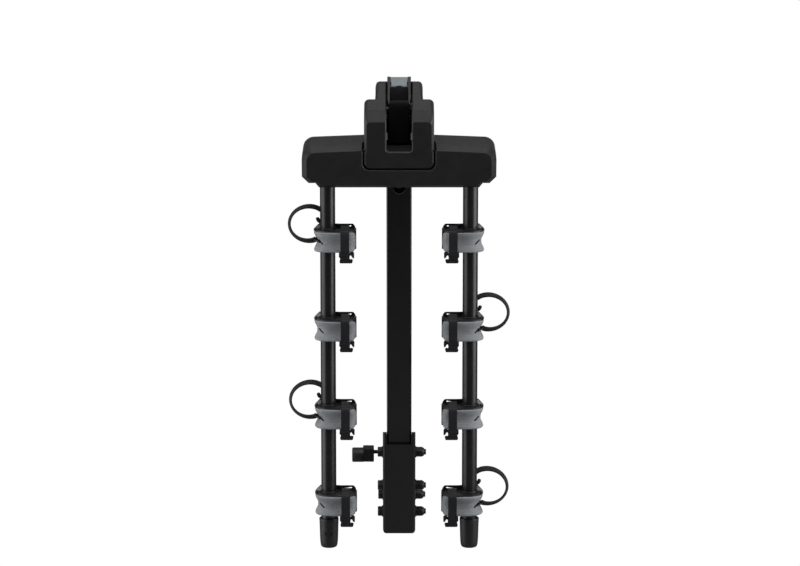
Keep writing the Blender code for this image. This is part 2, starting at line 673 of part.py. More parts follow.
# ---------------------------------------------------------------- cradles
# Outlines are (x, reach): x towards the mast from the arm's axis, reach towards the bike.
FLANGE = (
    (-24.5, 0.0), (-24.0, 8.0), (-21.0, 19.0), (-13.0, 29.0), (0.0, 35.5), (20.0, 36.8), (40.0, 36.8),
    (48.0, 31.5), (52.0, 22.0), (54.0, 12.0), (54.0, -11.0), (49.0, -17.0), (19.0, -17.0),
)
PAD_LIP = (
    (-26.0, -4.0), (-27.2, 5.0), (-24.5, 20.0), (-15.5, 32.5), (0.0, 39.0), (20.0, 40.3), (40.0, 40.3),
    (50.0, 34.5), (54.0, 24.0), (55.2, 14.0),
)
PAD_BACK = (
    (-20.2, -3.0), (-20.4, 4.0), (-18.0, 13.0), (-11.0, 22.0), (0.0, 27.0), (20.0, 27.0), (40.0, 27.0),
    (45.5, 24.0), (47.0, 18.0), (47.2, 12.0),
)


def facing(outline, z):
    """Cradle outlines to arm coordinates: the bike side faces away from the vehicle."""
    return [(x, -reach, z) for x, reach in outline]


def cradle_base_mesh():
    """Clamp ring, block and top flange in one moulding, with a slot for the strap."""
    collar = 19.5
    body = arc((0.0, 0.0), collar, 120.0, 290.0, 10)
    body += [(46.0, -7.0), (46.0, 20.0), (41.0, 26.0), (0.0, 26.4)]
    item = place("base_pattern", prism(body, -19.0, 22.0, facing), "black_plastic", None)
    rim = list(FLANGE) + arc((0.0, 0.0), 24.5, 300.0, 190.0, 6)
    cut(item, "base_flange", prism(rim, PAD_HALF_HEIGHT + 0.4, 31.0, facing), "UNION")
    well = [(51.6, 40.0), (51.6, -10.0), (48.2, -14.4), (18.0, -14.4)]
    well += arc((0.0, 0.0), 22.0, 310.0, 180.0, 8)
    well += [(-40.0, 0.0), (-40.0, 50.0), (51.6, 50.0)]
    cut(item, "base_well", prism(well, 22.6, 40.0, facing))
    slot = [(24.0, -14.4), (48.2, -14.4), (51.6, -10.0), (51.6, 12.0), (47.4, 12.0), (47.4, -9.0)]
    slot.append((24.0, -9.0))
    cut(item, "base_slot", prism(slot, -30.0, 40.0, facing))
    cut(item, "base_bore", prism(circle(ARM_RADIUS + GAP, 24), -30.0, 40.0, along_z))
    mesh = finished_mesh(item)
    remove(item)
    return mesh


def cradle_pad_mesh():
    """The saddle: two lips with a trough between them, bent round the arm."""
    levels = (
        (0.0, -1.0), (0.75, -1.0), (1.0, -0.86), (0.8, -0.55), (0.52, -0.2), (0.52, 0.2),
        (0.8, 0.55), (1.0, 0.86), (0.75, 1.0), (0.0, 1.0),
    )
    sections = []
    for back, lip in zip(PAD_BACK, PAD_LIP):
        ring = []
        for share, level in levels:
            x = back[0] + (lip[0] - back[0]) * share
            reach = back[1] + (lip[1] - back[1]) * share
            ring.append((x, -reach, level * PAD_HALF_HEIGHT))
        sections.append(ring)
    mesh = loft(sections)
    mesh.materials.append(material("grey_rubber"))
    return mesh


def cradle_strap_mesh():
    """The ladder strap over the saddle, with its buckle and tail below."""
    middle = 33.6
    route = (                  # reach, height, width, thickness
        (-11.5, 24.6, 17.0, 2.4), (22.0, 24.8, 17.0, 2.4), (37.5, 24.8, 17.0, 2.4),
        (43.0, 21.5, 17.0, 2.4), (44.6, 14.0, 17.0, 2.4), (44.2, -17.5, 17.0, 2.4),
        (44.6, -21.0, 22.0, 7.0), (44.6, -34.0, 20.0, 7.0), (44.2, -38.5, 17.0, 3.0),
    )
    sections = []
    for index, (reach, z, width, thickness) in enumerate(route):
        before = route[max(index - 1, 0)]
        after = route[min(index + 1, len(route) - 1)]
        run = Vector((after[0] - before[0], after[1] - before[1])).normalized()
        side = Vector((-run.y, run.x)) * thickness / 2
        low, high = middle - width / 2, middle + width / 2
        corners = ((low, 1), (high, 1), (high, -1), (low, -1))
        sections.append([(x, -(reach + side.x * way), z + side.y * way) for x, way in corners])
    mesh = loft(sections)
    mesh.materials.append(material("black_rubber"))
    return mesh


def smooth_step(value, low, high):
    share = max(0.0, min(1.0, (value - low) / (high - low)))
    return share * share * (3.0 - 2.0 * share)


def anti_sway_mesh():
    """A flat strap twisted into a ring beside the arm, passing behind the arm at its top."""
    centre_x, centre_z, radius_x, radius_z = -38.0, 32.8, 37.0, 31.8
    width, thickness, steps = 15.5, 2.4, 26
    start, sweep = -74.0, -279.0
    sections = []
    for index in range(steps + 1):
        share = index / steps
        angle = math.radians(start + sweep * share)
        reach = 14.0 - 39.0 * smooth_step(share, 0.0, 1.0)
        twist = 16.0 + 29.0 * smooth_step(share, 0.4, 0.0) + 4.0 * smooth_step(share, 0.45, 0.8)
        lean = math.radians(twist)
        ring = []
        for side, offset in ((1, 1), (-1, 1), (-1, -1), (1, -1)):
            across, out = width / 2 * side, thickness / 2 * offset
            rise = out * math.cos(lean) - across * math.sin(lean)
            depth = reach + across * math.cos(lean) + out * math.sin(lean)
            x = centre_x + (radius_x + rise) * math.cos(angle)
            z = centre_z + (radius_z + rise) * math.sin(angle)
            ring.append((x, -depth, z))
        sections.append(ring)
    mesh = loft(sections)
    mesh.materials.append(material("black_rubber"))
    return mesh


def cradles(parents):
    meshes = {
        "cradle_base": cradle_base_mesh(),
        "cradle_pad": cradle_pad_mesh(),
        "cradle_strap": cradle_strap_mesh(),
        "anti_sway_strap": anti_sway_mesh(),
    }
    for side, parent in parents.items():
        shapes = meshes if side == "left" else {name: mirrored(mesh) for name, mesh in meshes.items()}
        for row in range(1, ROW_COUNT + 1):
            has_loop = (row % 2 == 1) == (side == "left")
            for piece, mesh in shapes.items():
                if piece == "anti_sway_strap" and not has_loop:
                    continue
                name = "%s_%s_%d" % (piece, side, row)
                item = place(name, mesh.copy(), None, parent)
                item.location.z = (ROW_TOP_Z - ROW_PITCH * (row - 1)) * MM


# ---------------------------------------------------------------- assembly
def in_world(yz):
    """Mast coordinates to world coordinates, in the YZ plane."""
    cosine, sine = math.cos(MAST_LEAN), math.sin(MAST_LEAN)
    return (ARM_PIVOT_Y + yz[0] * cosine - yz[1] * sine, ARM_PIVOT_Z + yz[0] * sine + yz[1] * cosine)


def in_mast(yz):
    """World coordinates to mast coordinates, in the YZ plane."""
    cosine, sine = math.cos(MAST_LEAN), math.sin(MAST_LEAN)
    y, z = yz[0] - ARM_PIVOT_Y, yz[1] - ARM_PIVOT_Z
    return (y * cosine + z * sine, z * cosine - y * sine)


def build_hitch():
    root = empty("hitch", (0.0, 0.0, 0.0))
    hitch_tube(root)
    tilt_lock_plate(root, in_world((PULL_PIN_Y, PULL_PIN_Z)))
    return root


def build_mast(root):
    tilt = empty("tilt_axis", (0.0, TILT_PIVOT_Y, TILT_PIVOT_Z), root)
    offset = (0.0, ARM_PIVOT_Y - TILT_PIVOT_Y, ARM_PIVOT_Z - TILT_PIVOT_Z)
    mast = empty("mast", offset, tilt, MAST_LEAN)
    tilt_yz = in_mast((TILT_PIVOT_Y, TILT_PIVOT_Z))
    head_x = -BRACKET_OUTSIDE - GAP - BOLT_HEAD
    nut_x = BRACKET_OUTSIDE + GAP
    tilt_bracket(mast, tilt_yz)
    mast_tube(mast)
    for name, z in MAST_BOLTS.items():
        bolt("mast_bolt_" + name, (0.0, z), head_x, BOLT_END_X, mast)
        nut("mast_nut_" + name, (0.0, z), nut_x, mast)
    bolt("tilt_pivot_bolt", tilt_yz, head_x, BOLT_END_X, mast)
    nut("tilt_pivot_nut", tilt_yz, nut_x, mast)
    pull_pin_barrel(mast)
    latch_sector(mast)
    arm_pivot_bolt(mast)
    pin = empty("pull_pin_slide", (0.0, 0.0, 0.0), mast)
    pull_pin(pin)
    pull_pin_knob(pin)
    return mast


def build_head(mast):
    head = empty("arm_fold_axis", (0.0, 0.0, 0.0), mast)
    hinge_frame(head)
    crossbar_cover(head)
    rear_cover(head)
    centre_cover(head)
    lever_pin(head)
    lever_spring(head)
    release_lever(head)
    lever_grip(head)
    latch_pin(head)
    latch_link(head)
    return head


def build_arms(head):
    """Arms hang straight down, so their frames undo the mast's lean."""
    level = empty("arm_level", (0.0, 0.0, 0.0), head, -MAST_LEAN)
    drop = ARM_PLANE_Y - ARM_PIVOT_Y
    cross_tube(empty("cross_tube_axis", (0.0, drop, CROSS_Z - ARM_PIVOT_Z), level))
    arms = {}
    for side, x in (("left", -ARM_X), ("right", ARM_X)):
        arms[side] = empty("arm_" + side, (x, drop, -ARM_PIVOT_Z), level)
        arm_tube("arm_tube_" + side, arms[side])
        end_cap("end_cap_" + side, arms[side], lock_slots=side == "left")
    cradles(arms)


def main():
    clear_scene()
    mast = build_mast(build_hitch())
    build_arms(build_head(mast))


main()
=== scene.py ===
"""Looks of the hitch mounted bike rack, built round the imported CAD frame.

Shapes are given in millimetres in one of two local frames and turned into metres by
that frame's matrix.  The mast frame has its origin on the arm pivot and its Z axis
along the leaning mast.  An arm frame has its origin on one arm's axis at a cradle's
height: +X towards the mast, -Y towards the bike side, +Z up.
"""

import json
import math

import bmesh
import bpy
from mathutils import Matrix, Vector


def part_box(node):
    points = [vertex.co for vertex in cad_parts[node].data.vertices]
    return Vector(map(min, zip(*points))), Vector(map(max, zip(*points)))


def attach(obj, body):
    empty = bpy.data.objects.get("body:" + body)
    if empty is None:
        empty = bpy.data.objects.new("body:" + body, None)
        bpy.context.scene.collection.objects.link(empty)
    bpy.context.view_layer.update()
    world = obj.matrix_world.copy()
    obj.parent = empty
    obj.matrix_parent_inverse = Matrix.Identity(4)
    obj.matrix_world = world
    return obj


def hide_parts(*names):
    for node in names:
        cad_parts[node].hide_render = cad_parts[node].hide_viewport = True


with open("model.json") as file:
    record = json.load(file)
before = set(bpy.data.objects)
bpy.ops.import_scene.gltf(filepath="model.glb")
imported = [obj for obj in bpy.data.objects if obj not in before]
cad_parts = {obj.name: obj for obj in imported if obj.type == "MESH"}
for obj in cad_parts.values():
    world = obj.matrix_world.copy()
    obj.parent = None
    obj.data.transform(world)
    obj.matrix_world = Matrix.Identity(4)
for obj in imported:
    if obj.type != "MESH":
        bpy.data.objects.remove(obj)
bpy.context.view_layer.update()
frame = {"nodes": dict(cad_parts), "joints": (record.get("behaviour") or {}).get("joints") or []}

# ---------------------------------------------------------------- places from the frame
MM = 0.001
JOINTS = {joint["name"]: joint for joint in frame["joints"]}
MAST_LEAN = math.radians(8.0)
TO_METRES = Matrix.Scale(MM, 4)
ARM_PIVOT = Vector(JOINTS["arm_fold"]["pos_m"])
MAST_FRAME = Matrix.Translation(ARM_PIVOT) @ Matrix.Rotation(MAST_LEAN, 4, "X") @ TO_METRES
SIDES = ("left", "right")
ROWS = (1, 2, 3, 4)


def box_centre(node):
    low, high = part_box(node)
    return (Vector(low) + Vector(high)) / 2


def in_mast(point):
    """World metres to the mast frame's (y, z) in millimetres."""
    place = MAST_FRAME.inverted() @ Vector(point)
    return (place.y, place.z)


def arm_frame(side, height):
    """Arm coordinates at a height in metres; the right arm's frame is mirrored."""
    axis = box_centre("arm_tube_" + side)
    matrix = Matrix.Translation((axis.x, axis.y, height)) @ TO_METRES
    if side == "right":
        matrix = matrix @ Matrix.Scale(-1.0, 4, (1.0, 0.0, 0.0))
    return matrix


# ---------------------------------------------------------------- mesh helpers
LARGE_ANGLE = 40.0             # a bevel from here up leaves corners that shading keeps sharp
SHARP_ANGLE = 28.0


def mesh_from(rings, closed=False):
    """Skin equal rings of points; cap the ends, or join last to first if closed."""
    shape = bmesh.new()
    verts = [[shape.verts.new(point) for point in ring] for ring in rings]
    pairs = list(zip(verts, verts[1:]))
    if closed:
        pairs.append((verts[-1], verts[0]))
    count = len(verts[0])
    for low, high in pairs:
        for index in range(count):
            following = (index + 1) % count
            shape.faces.new((low[index], low[following], high[following], high[index]))
    if not closed:
        shape.faces.new(verts[0])
        shape.faces.new(verts[-1])
    bmesh.ops.recalc_face_normals(shape, faces=shape.faces)
    mesh = bpy.data.meshes.new("piece")
    shape.to_mesh(mesh)
    shape.free()
    return mesh


def along_x(outline, x):
    """An outline of (y, z) points placed at x; along_y and along_z do the same."""
    return [(x, a, b) for a, b in outline]


def along_y(outline, y):
    return [(a, y, b) for a, b in outline]


def along_z(outline, z):
    return [(a, b, z) for a, b in outline]


def prism(outline, low, high, place_on=along_x):
    return mesh_from([place_on(outline, low), place_on(outline, high)])


def block(low, high):
    """A box between two corners."""
    outline = [(low[0], low[1]), (high[0], low[1]), (high[0], high[1]), (low[0], high[1])]
    return prism(outline, low[2], high[2], along_z)


def arc(centre, radius, start, end, steps):
    """Points on a circle, angles in degrees, both ends included."""
    points = []
    for index in range(steps + 1):
        angle = math.radians(start + (end - start) * index / steps)
        points.append((centre[0] + radius * math.cos(angle), centre[1] + radius * math.sin(angle)))
    return points


def circle(radius, count, centre=(0.0, 0.0)):
    return arc(centre, radius, 0.0, 360.0, count)[:-1]


def hexagon(across, count, centre, limit):
    """A hexagon of many points, cut back to a circle of radius limit."""
    points = []
    for index in range(count):
        angle = 2.0 * math.pi * index / count
        off_flat = (angle + math.pi / 6) % (math.pi / 3) - math.pi / 6
        radius = min(across / 2 / math.cos(off_flat), limit)
        points.append((centre[0] + radius * math.cos(angle), centre[1] + radius * math.sin(angle)))
    return points


def rounded_box(half_a, half_b, radius, steps, centre):
    """A rectangle's outline with round corners."""
    points = []
    for sign_a, sign_b, start in ((1, 1, 0), (-1, 1, 90), (-1, -1, 180), (1, -1, 270)):
        corner = (centre[0] + sign_a * (half_a - radius), centre[1] + sign_b * (half_b - radius))
        points += arc(corner, radius, start, start + 90, steps)
    return points


def turned(profile, count, place_on, centre=(0.0, 0.0), closed=False):
    """A turned shape from (radius, position) pairs along its axis."""
    rings = [place_on(circle(radius, count, centre), position) for radius, position in profile]
    return mesh_from(rings, closed)


def smooth_path(points, steps):
    """A Catmull-Rom curve through the points, ends included."""
    path = []
    last = len(points) - 1
    for index in range(last):
        before = Vector(points[max(index - 1, 0)])
        start = Vector(points[index])
        end = Vector(points[index + 1])
        after = Vector(points[min(index + 2, last)])
        for step in range(steps):
            t = step / steps
            path.append(
                0.5 * (2 * start + (end - before) * t
                       + (2 * before - 5 * start + 4 * end - after) * t * t
                       + (3 * start - before - 3 * end + after) * t * t * t)
            )
    path.append(Vector(points[-1]))
    return path


def carved(mesh, tools):
    """The mesh after each (operation, tool mesh) has been applied in turn."""
    item = bpy.data.objects.new("carving", mesh)
    bpy.context.collection.objects.link(item)
    helpers = []
    for operation, tool_mesh in tools:
        tool = bpy.data.objects.new("tool", tool_mesh)
        bpy.context.collection.objects.link(tool)
        helpers.append(tool)
        modifier = item.modifiers.new("carve", "BOOLEAN")
        modifier.object = tool
        modifier.operation = operation
        modifier.solver = "EXACT"
    graph = bpy.context.evaluated_depsgraph_get()
    result = bpy.data.meshes.new_from_object(item.evaluated_get(graph))
    for helper in helpers + [item]:
        bpy.data.objects.remove(helper)
    return result


def joined(meshes):
    """Several closed meshes as one mesh."""
    shape = bmesh.new()
    for mesh in meshes:
        shape.from_mesh(mesh)
    result = bpy.data.meshes.new("joined")
    shape.to_mesh(result)
    shape.free()
    return result


def piece(name, mesh, matrix, finish, body, replaced=(), bevel=0.0, angle=30.0):
    """Put a mesh in the scene as one finished piece riding on a CAD body.

    Edges that turn by more than the angle, in degrees, get a bevel of that many millimetres,
    or stay sharp where bevel is 0.
    """
    mesh = mesh.copy()
    mesh.name = name
    mesh.transform(matrix)
    if matrix.determinant() < 0:
        mesh.flip_normals()
    mesh.materials.clear()
    mesh.materials.append(FINISHES[finish])
    mesh.shade_smooth()
    if not bevel:
        mesh.set_sharp_from_angle(angle=math.radians(angle))
    elif angle > LARGE_ANGLE:
        mesh.set_sharp_from_angle(angle=math.radians(SHARP_ANGLE))
    item = bpy.data.objects.new(name, mesh)
    bpy.context.collection.objects.link(item)
    if bevel:
        modifier = item.modifiers.new("soft_edges", "BEVEL")
        modifier.width = bevel * MM
        modifier.segments = 3
        modifier.limit_method = "ANGLE"
        modifier.angle_limit = math.radians(angle)
        modifier.harden_normals = True
        modifier.use_clamp_overlap = True
        modifier.miter_outer = "MITER_ARC"
    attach(item, body)
    if replaced:
        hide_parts(*replaced)
    return item


# ---------------------------------------------------------------- materials
def shader_nodes(name, roughness, specular, metallic=0.0):
    """A new material with its nodes, its links and its shader."""
    material = bpy.data.materials.new(name)
    material.use_nodes = True
    nodes = material.node_tree.nodes
    shader = nodes["Principled BSDF"]
    shader.inputs["Roughness"].default_value = roughness
    shader.inputs["Specular IOR Level"].default_value = specular
    shader.inputs["Metallic"].default_value = metallic
    return material, nodes, material.node_tree.links, shader


def noise(nodes, links, coordinates, scale, detail):
    texture = nodes.new("ShaderNodeTexNoise")
    texture.inputs["Scale"].default_value = scale
    texture.inputs["Detail"].default_value = detail
    links.new(coordinates, texture.inputs["Vector"])
    return texture.outputs["Fac"]


def ramp(nodes, links, factor, stops):
    item = nodes.new("ShaderNodeValToRGB")
    elements = item.color_ramp.elements
    for element, (position, colour) in zip(elements, (stops[0], stops[-1])):
        element.position = position
        element.color = (*colour, 1.0)
    for position, colour in stops[1:-1]:
        element = elements.new(position)
        element.color = (*colour, 1.0)
    links.new(factor, item.inputs["Fac"])
    return item.outputs["Color"]


def spread(nodes, links, factor, low, high):
    """The middle of a noise's range stretched over low to high."""
    item = nodes.new("ShaderNodeMapRange")
    item.inputs["From Min"].default_value = 0.3
    item.inputs["From Max"].default_value = 0.7
    item.inputs["To Min"].default_value = low
    item.inputs["To Max"].default_value = high
    links.new(factor, item.inputs["Value"])
    return item.outputs["Result"]


def bump(nodes, links, height, distance, shader):
    item = nodes.new("ShaderNodeBump")
    item.inputs["Strength"].default_value = 0.5
    item.inputs["Distance"].default_value = distance
    links.new(height, item.inputs["Height"])
    links.new(item.outputs["Normal"], shader.inputs["Normal"])


def grained(name, dark, light, roughness, grain_scale, grain_depth, specular=0.5, metallic=0.0):
    """A finish with slow colour and gloss drift and a fine surface grain, its depth in metres."""
    material, nodes, links, shader = shader_nodes(name, roughness[0], specular, metallic)
    place = nodes.new("ShaderNodeTexCoord").outputs["Object"]
    drift = noise(nodes, links, place, 22.0, 4.0)
    links.new(ramp(nodes, links, drift, ((0.3, dark), (0.7, light))), shader.inputs["Base Color"])
    gloss = noise(nodes, links, place, 60.0, 5.0)
    links.new(spread(nodes, links, gloss, *roughness), shader.inputs["Roughness"])
    grain = noise(nodes, links, place, grain_scale, 2.0)
    bump(nodes, links, grain, grain_depth, shader)
    return material


FINISHES = {
    "coat": grained("powder_coat_black", (0.006, 0.006, 0.0062), (0.009, 0.009, 0.0092),
                    (0.17, 0.24), 1500.0, 0.00002),
    "arm_coat": grained("arm_coat_black", (0.007, 0.007, 0.0073), (0.011, 0.011, 0.0113),
                        (0.29, 0.37), 1500.0, 0.00002),
    "cover": grained("cover_plastic", (0.0085, 0.0085, 0.0095), (0.0115, 0.0115, 0.0125),
                     (0.40, 0.50), 2600.0, 0.0001),
    "plastic": grained("moulded_plastic", (0.008, 0.008, 0.0085), (0.014, 0.014, 0.015),
                       (0.38, 0.5), 2200.0, 0.0001),
    "pad": grained("cushion_rubber", (0.245, 0.257, 0.272), (0.295, 0.307, 0.322),
                   (0.58, 0.70), 1800.0, 0.0001, specular=0.4),
    # a darker copy of the lever's plastic: painted shade for the lever plate deep in the release
    # lever's channel
    "shadow": grained("painted_shade_plastic", (0.003, 0.003, 0.0032), (0.005, 0.005, 0.0053),
                      (0.5, 0.6), 2200.0, 0.00006, specular=0.15),
    "strap": grained("strap_rubber", (0.010, 0.010, 0.012), (0.017, 0.017, 0.020),
                     (0.45, 0.6), 1600.0, 0.0001, specular=0.4),
    "fastener": grained("dark_zinc", (0.020, 0.020, 0.020), (0.045, 0.045, 0.044),
                        (0.32, 0.48), 1200.0, 0.00008, metallic=0.75),
    "steel": grained("plated_steel", (0.10, 0.10, 0.105), (0.15, 0.15, 0.155),
                     (0.34, 0.48), 900.0, 0.00006, metallic=1.0),
    "grip": grained("grip_rubber", (0.20, 0.235, 0.245), (0.24, 0.28, 0.29),
                    (0.5, 0.62), 1900.0, 0.0001, specular=0.4),
}
CAD_FINISHES = {               # CAD nodes whose shape is already right
    "coat": ("hitch_tube", "tilt_lock_plate", "mast_tube", "hinge_frame", "cross_tube"),
    "fastener": ("arm_pivot_bolt", "pull_pin"),
    "steel": ("latch_sector", "lever_pin", "lever_spring", "latch_pin", "latch_link"),
}


def finish_cad_nodes():
    """Give the CAD nodes that stay as they are a full material."""
    for finish, names in CAD_FINISHES.items():
        for name in names:
            item = frame["nodes"][name]
            item.data.materials.clear()
            item.data.materials.append(FINISHES[finish])


# ---------------------------------------------------------------- bracket and fasteners
BRACKET_OUTSIDE = 33.6
BRACKET_INSIDE = 25.7
BRACKET_BOTTOM = -890.9
BRACKET_FRONT_TOP = -694.4
BRACKET_SIDE_TOP = -669.1
HEX_ACROSS = 19.0


def bracket():
    tilt = in_mast(JOINTS["mast_tilt"]["pos_m"])
    pin_y, pin_z = in_mast(box_centre("pull_pin_barrel"))
    outside, inside = BRACKET_OUTSIDE, BRACKET_INSIDE
    bend, ear, corner = 6.0, 27.0, 7.0
    outline = [(outside, 140.0), (inside, 140.0), (inside, -inside), (-inside, -inside)]
    outline += [(-inside, 140.0), (-outside, 140.0)]
    outline += arc((bend - outside, bend - outside), bend, 180.0, 270.0, 8)
    outline += arc((outside - bend, bend - outside), bend, 270.0, 360.0, 8)
    mesh = prism(outline, BRACKET_BOTTOM, BRACKET_SIDE_TOP, along_z)

    side = [(-60.0, BRACKET_BOTTOM - 5.0), (-60.0, BRACKET_SIDE_TOP + 5.0)]
    side += [(-25.0, BRACKET_SIDE_TOP - 0.5)]
    side += arc((pin_y - 2.0, pin_z), ear, 66.0, 0.0, 10)
    side += arc(tilt, ear, 0.0, -85.0, 12)
    face = [(-60.0, -600.0), (60.0, -600.0), (60.0, -880.0)]
    face += arc((outside - corner, BRACKET_BOTTOM + corner), corner, 0.0, -90.0, 10)
    face += arc((corner - outside, BRACKET_BOTTOM + corner), corner, -90.0, -180.0, 10)
    face += [(-60.0, -880.0)]
    gap_top, gap_low = BRACKET_FRONT_TOP + 1.0, BRACKET_FRONT_TOP - 9.0
    gap = [(-27.5, gap_top), (-27.5, gap_low), (0.0, gap_low), (0.0, gap_top)]
    above_front = block((-inside, -50.0, BRACKET_FRONT_TOP), (inside, 0.0, BRACKET_SIDE_TOP + 10.0))
    mesh = carved(mesh, [
        ("INTERSECT", prism(side, -50.0, 50.0)),
        ("INTERSECT", prism(face, -60.0, 160.0, along_y)),
        ("DIFFERENCE", above_front),
        ("DIFFERENCE", prism(gap, -inside, inside)),
    ])
    piece("bracket_plate", mesh, MAST_FRAME, "coat", "mast", ["tilt_bracket"], bevel=0.7)


def thread(centre, radius, start, end):
    """Rolled rings that read as a bolt's thread."""
    pitch = 1.5
    profile = []
    position = start
    while position < end - pitch:
        profile += [(radius - 0.55, position), (radius, position + pitch * 0.45)]
        position += pitch
    profile += [(radius - 0.4, end - 0.6), (radius - 1.6, end)]
    return turned(profile, 32, along_x, centre)


def hex_rings(across, centre, profile):
    """Hexagonal rings of (corner limit, x); a limit inside the flats makes a ring round."""
    return [along_x(hexagon(across, 48, centre, limit), x) for limit, x in profile]


def bolt_set(name, centre, replaced):
    """Head with washer on the left, lock nut with washer and thread end on the right."""
    seat = BRACKET_OUTSIDE + 0.1
    full = HEX_ACROSS          # corners left whole

    def washer(near, far):
        side = math.copysign(0.4, far)
        profile = [(6.0, near), (11.6, near), (12.0, near + side), (11.6, far), (6.0, far)]
        return turned(profile, 48, along_x, centre)

    head_end = -BRACKET_OUTSIDE - 10.9
    head = mesh_from(hex_rings(HEX_ACROSS, centre, (
        (9.5, -seat - 2.0), (full, -seat - 2.6), (full, head_end + 1.4), (9.7, head_end + 0.3),
        (8.5, head_end), (5.0, head_end), (4.4, head_end + 0.6),
    )))
    nut_end = seat + 14.4
    nut = mesh_from(hex_rings(HEX_ACROSS, centre, (
        (9.5, seat + 2.0), (full, seat + 2.8), (full, nut_end - 0.8), (10.0, nut_end),
        (9.3, nut_end + 0.4), (8.9, nut_end + 1.8), (7.5, nut_end + 3.5), (6.3, nut_end + 3.7),
    )))
    end = thread(centre, 6.2, nut_end - 2.0, BRACKET_OUTSIDE + 22.1)
    parts = [washer(-seat, -seat - 2.2), washer(seat, seat + 2.2), head, nut, end]
    piece(name, joined(parts), MAST_FRAME, "fastener", "mast", replaced)


def fasteners():
    for level in ("upper", "middle", "lower"):
        replaced = ["mast_bolt_" + level, "mast_nut_" + level]
        bolt_set("clamp_bolt_" + level, in_mast(box_centre("mast_nut_" + level)), replaced)
    tilt = in_mast(JOINTS["mast_tilt"]["pos_m"])
    bolt_set("tilt_bolt", tilt, ["tilt_pivot_bolt", "tilt_pivot_nut"])


def pull_pin_guide():
    """Washer and hexagonal barrel round the pull pin."""
    centre = in_mast(box_centre("pull_pin_barrel"))
    seat = -BRACKET_OUTSIDE - 0.1
    bore, across = 4.35, 18.0
    washer = ((bore, seat), (11.0, seat), (11.2, seat - 0.5), (11.0, seat - 2.6))
    rings = [along_x(circle(radius, 48, centre), x) for radius, x in washer]
    rings += hex_rings(across, centre, (
        (9.4, seat - 2.7), (across, seat - 3.6), (across, seat - 9.4), (9.3, seat - 10.4),
        (bore, seat - 10.5),
    ))
    barrel = mesh_from(rings, closed=True)
    piece("pull_pin_guide", barrel, MAST_FRAME, "fastener", "mast", ["pull_pin_barrel"], angle=25.0)


def pull_pin_grip():
    """A grooved neck and a smooth end."""
    pin_y, pin_z = in_mast(box_centre("pull_pin_barrel"))

    def section(x, top, bottom, half, radius):
        middle = (pin_y, pin_z + (top + bottom) / 2)
        return along_x(rounded_box(half, (top - bottom) / 2, radius, 10, middle), x)

    full = (13.6, -21.6, 13.0, 11.0)
    groove = (12.9, -20.9, 12.3, 10.4)
    rings = [
        section(-53.4, 10.5, -18.5, 9.5, 8.0),
        section(-53.7, 12.4, -20.4, 11.6, 9.6),
        section(-54.8, *full),
    ]
    for index in range(9):
        x = -56.0 - index * 2.2
        rings += [section(x, *full), section(x - 0.5, *groove)]
        rings += [section(x - 1.0, *groove), section(x - 1.5, *full)]
    rings += [
        section(-76.0, 13.4, -21.6, 13.0, 11.0),
        section(-76.6, 9.2, -21.6, 13.8, 11.8),
        section(-77.2, 8.3, -21.6, 14.0, 12.0),
        section(-97.2, 8.3, -21.6, 14.0, 12.0),
        section(-98.9, 7.6, -20.9, 13.3, 11.4),
        section(-99.6, 5.8, -19.2, 11.6, 9.8),
    ]
    mesh = mesh_from(rings)
    piece("pull_pin_grip", mesh, MAST_FRAME, "plastic", "pull_pin", ["pull_pin_knob"], angle=50.0)


# ---------------------------------------------------------------- head covers
HEAD_FRONT = -155.0
HEAD_SEAM = -60.0
HEAD_BACK = -42.0
HEAD_HALF_WIDTH = 189.3
HEAD_TOP = -34.9
HEAD_WALL = 3.0
OPENING_HALF = 70.0            # the crossbar's opening for the centre cover
OPENING_LOW = -81.0
OPENING_CORNER = 12.0
OPENING_CHAMFER = 2.2
HUMP_HALF = 67.75
HUMP_LOW = -78.5
NECK_HALF = 47.2
CHANNEL_HALF = 24.7            # the channel that the release lever moves in
CHANNEL_LIP = -44.6
CHANNEL_CORNER = 5.0


def head_outline(inset, drop):
    """The crossbar's front view: rounded top corners, cut lower corners, a lower boss."""
    half = HEAD_HALF_WIDTH - inset
    top = HEAD_TOP - drop
    radius = 22.0 - inset * 0.5
    low = -111.5 + inset * 0.7
    boss = -120.3 + inset * 0.84
    boss_half = 159.0 - inset * 0.3
    corner = 13.0 - inset * 0.3
    right = [(70.0, boss), (boss_half - 3.0, boss), (boss_half + 4.0, low), (half - corner, low)]
    right += [(half, low + corner)]
    right += arc((half - radius, top - 4.8 - radius), radius, 0.0, 84.0, 12)
    right += [(120.0, top - 2.9), (70.0, top - 1.0)]
    left = [(-x, z) for x, z in reversed(right)]
    return right + left


def u_outline(half, low, corner, top, steps):
    """An opening in the front view: straight sides and rounded lower corners."""
    outline = [(-half, top)]
    outline += arc((corner - half, low + corner), corner, 180.0, 270.0, steps)
    outline += arc((half - corner, low + corner), corner, 270.0, 360.0, steps)
    return outline + [(half, top)]


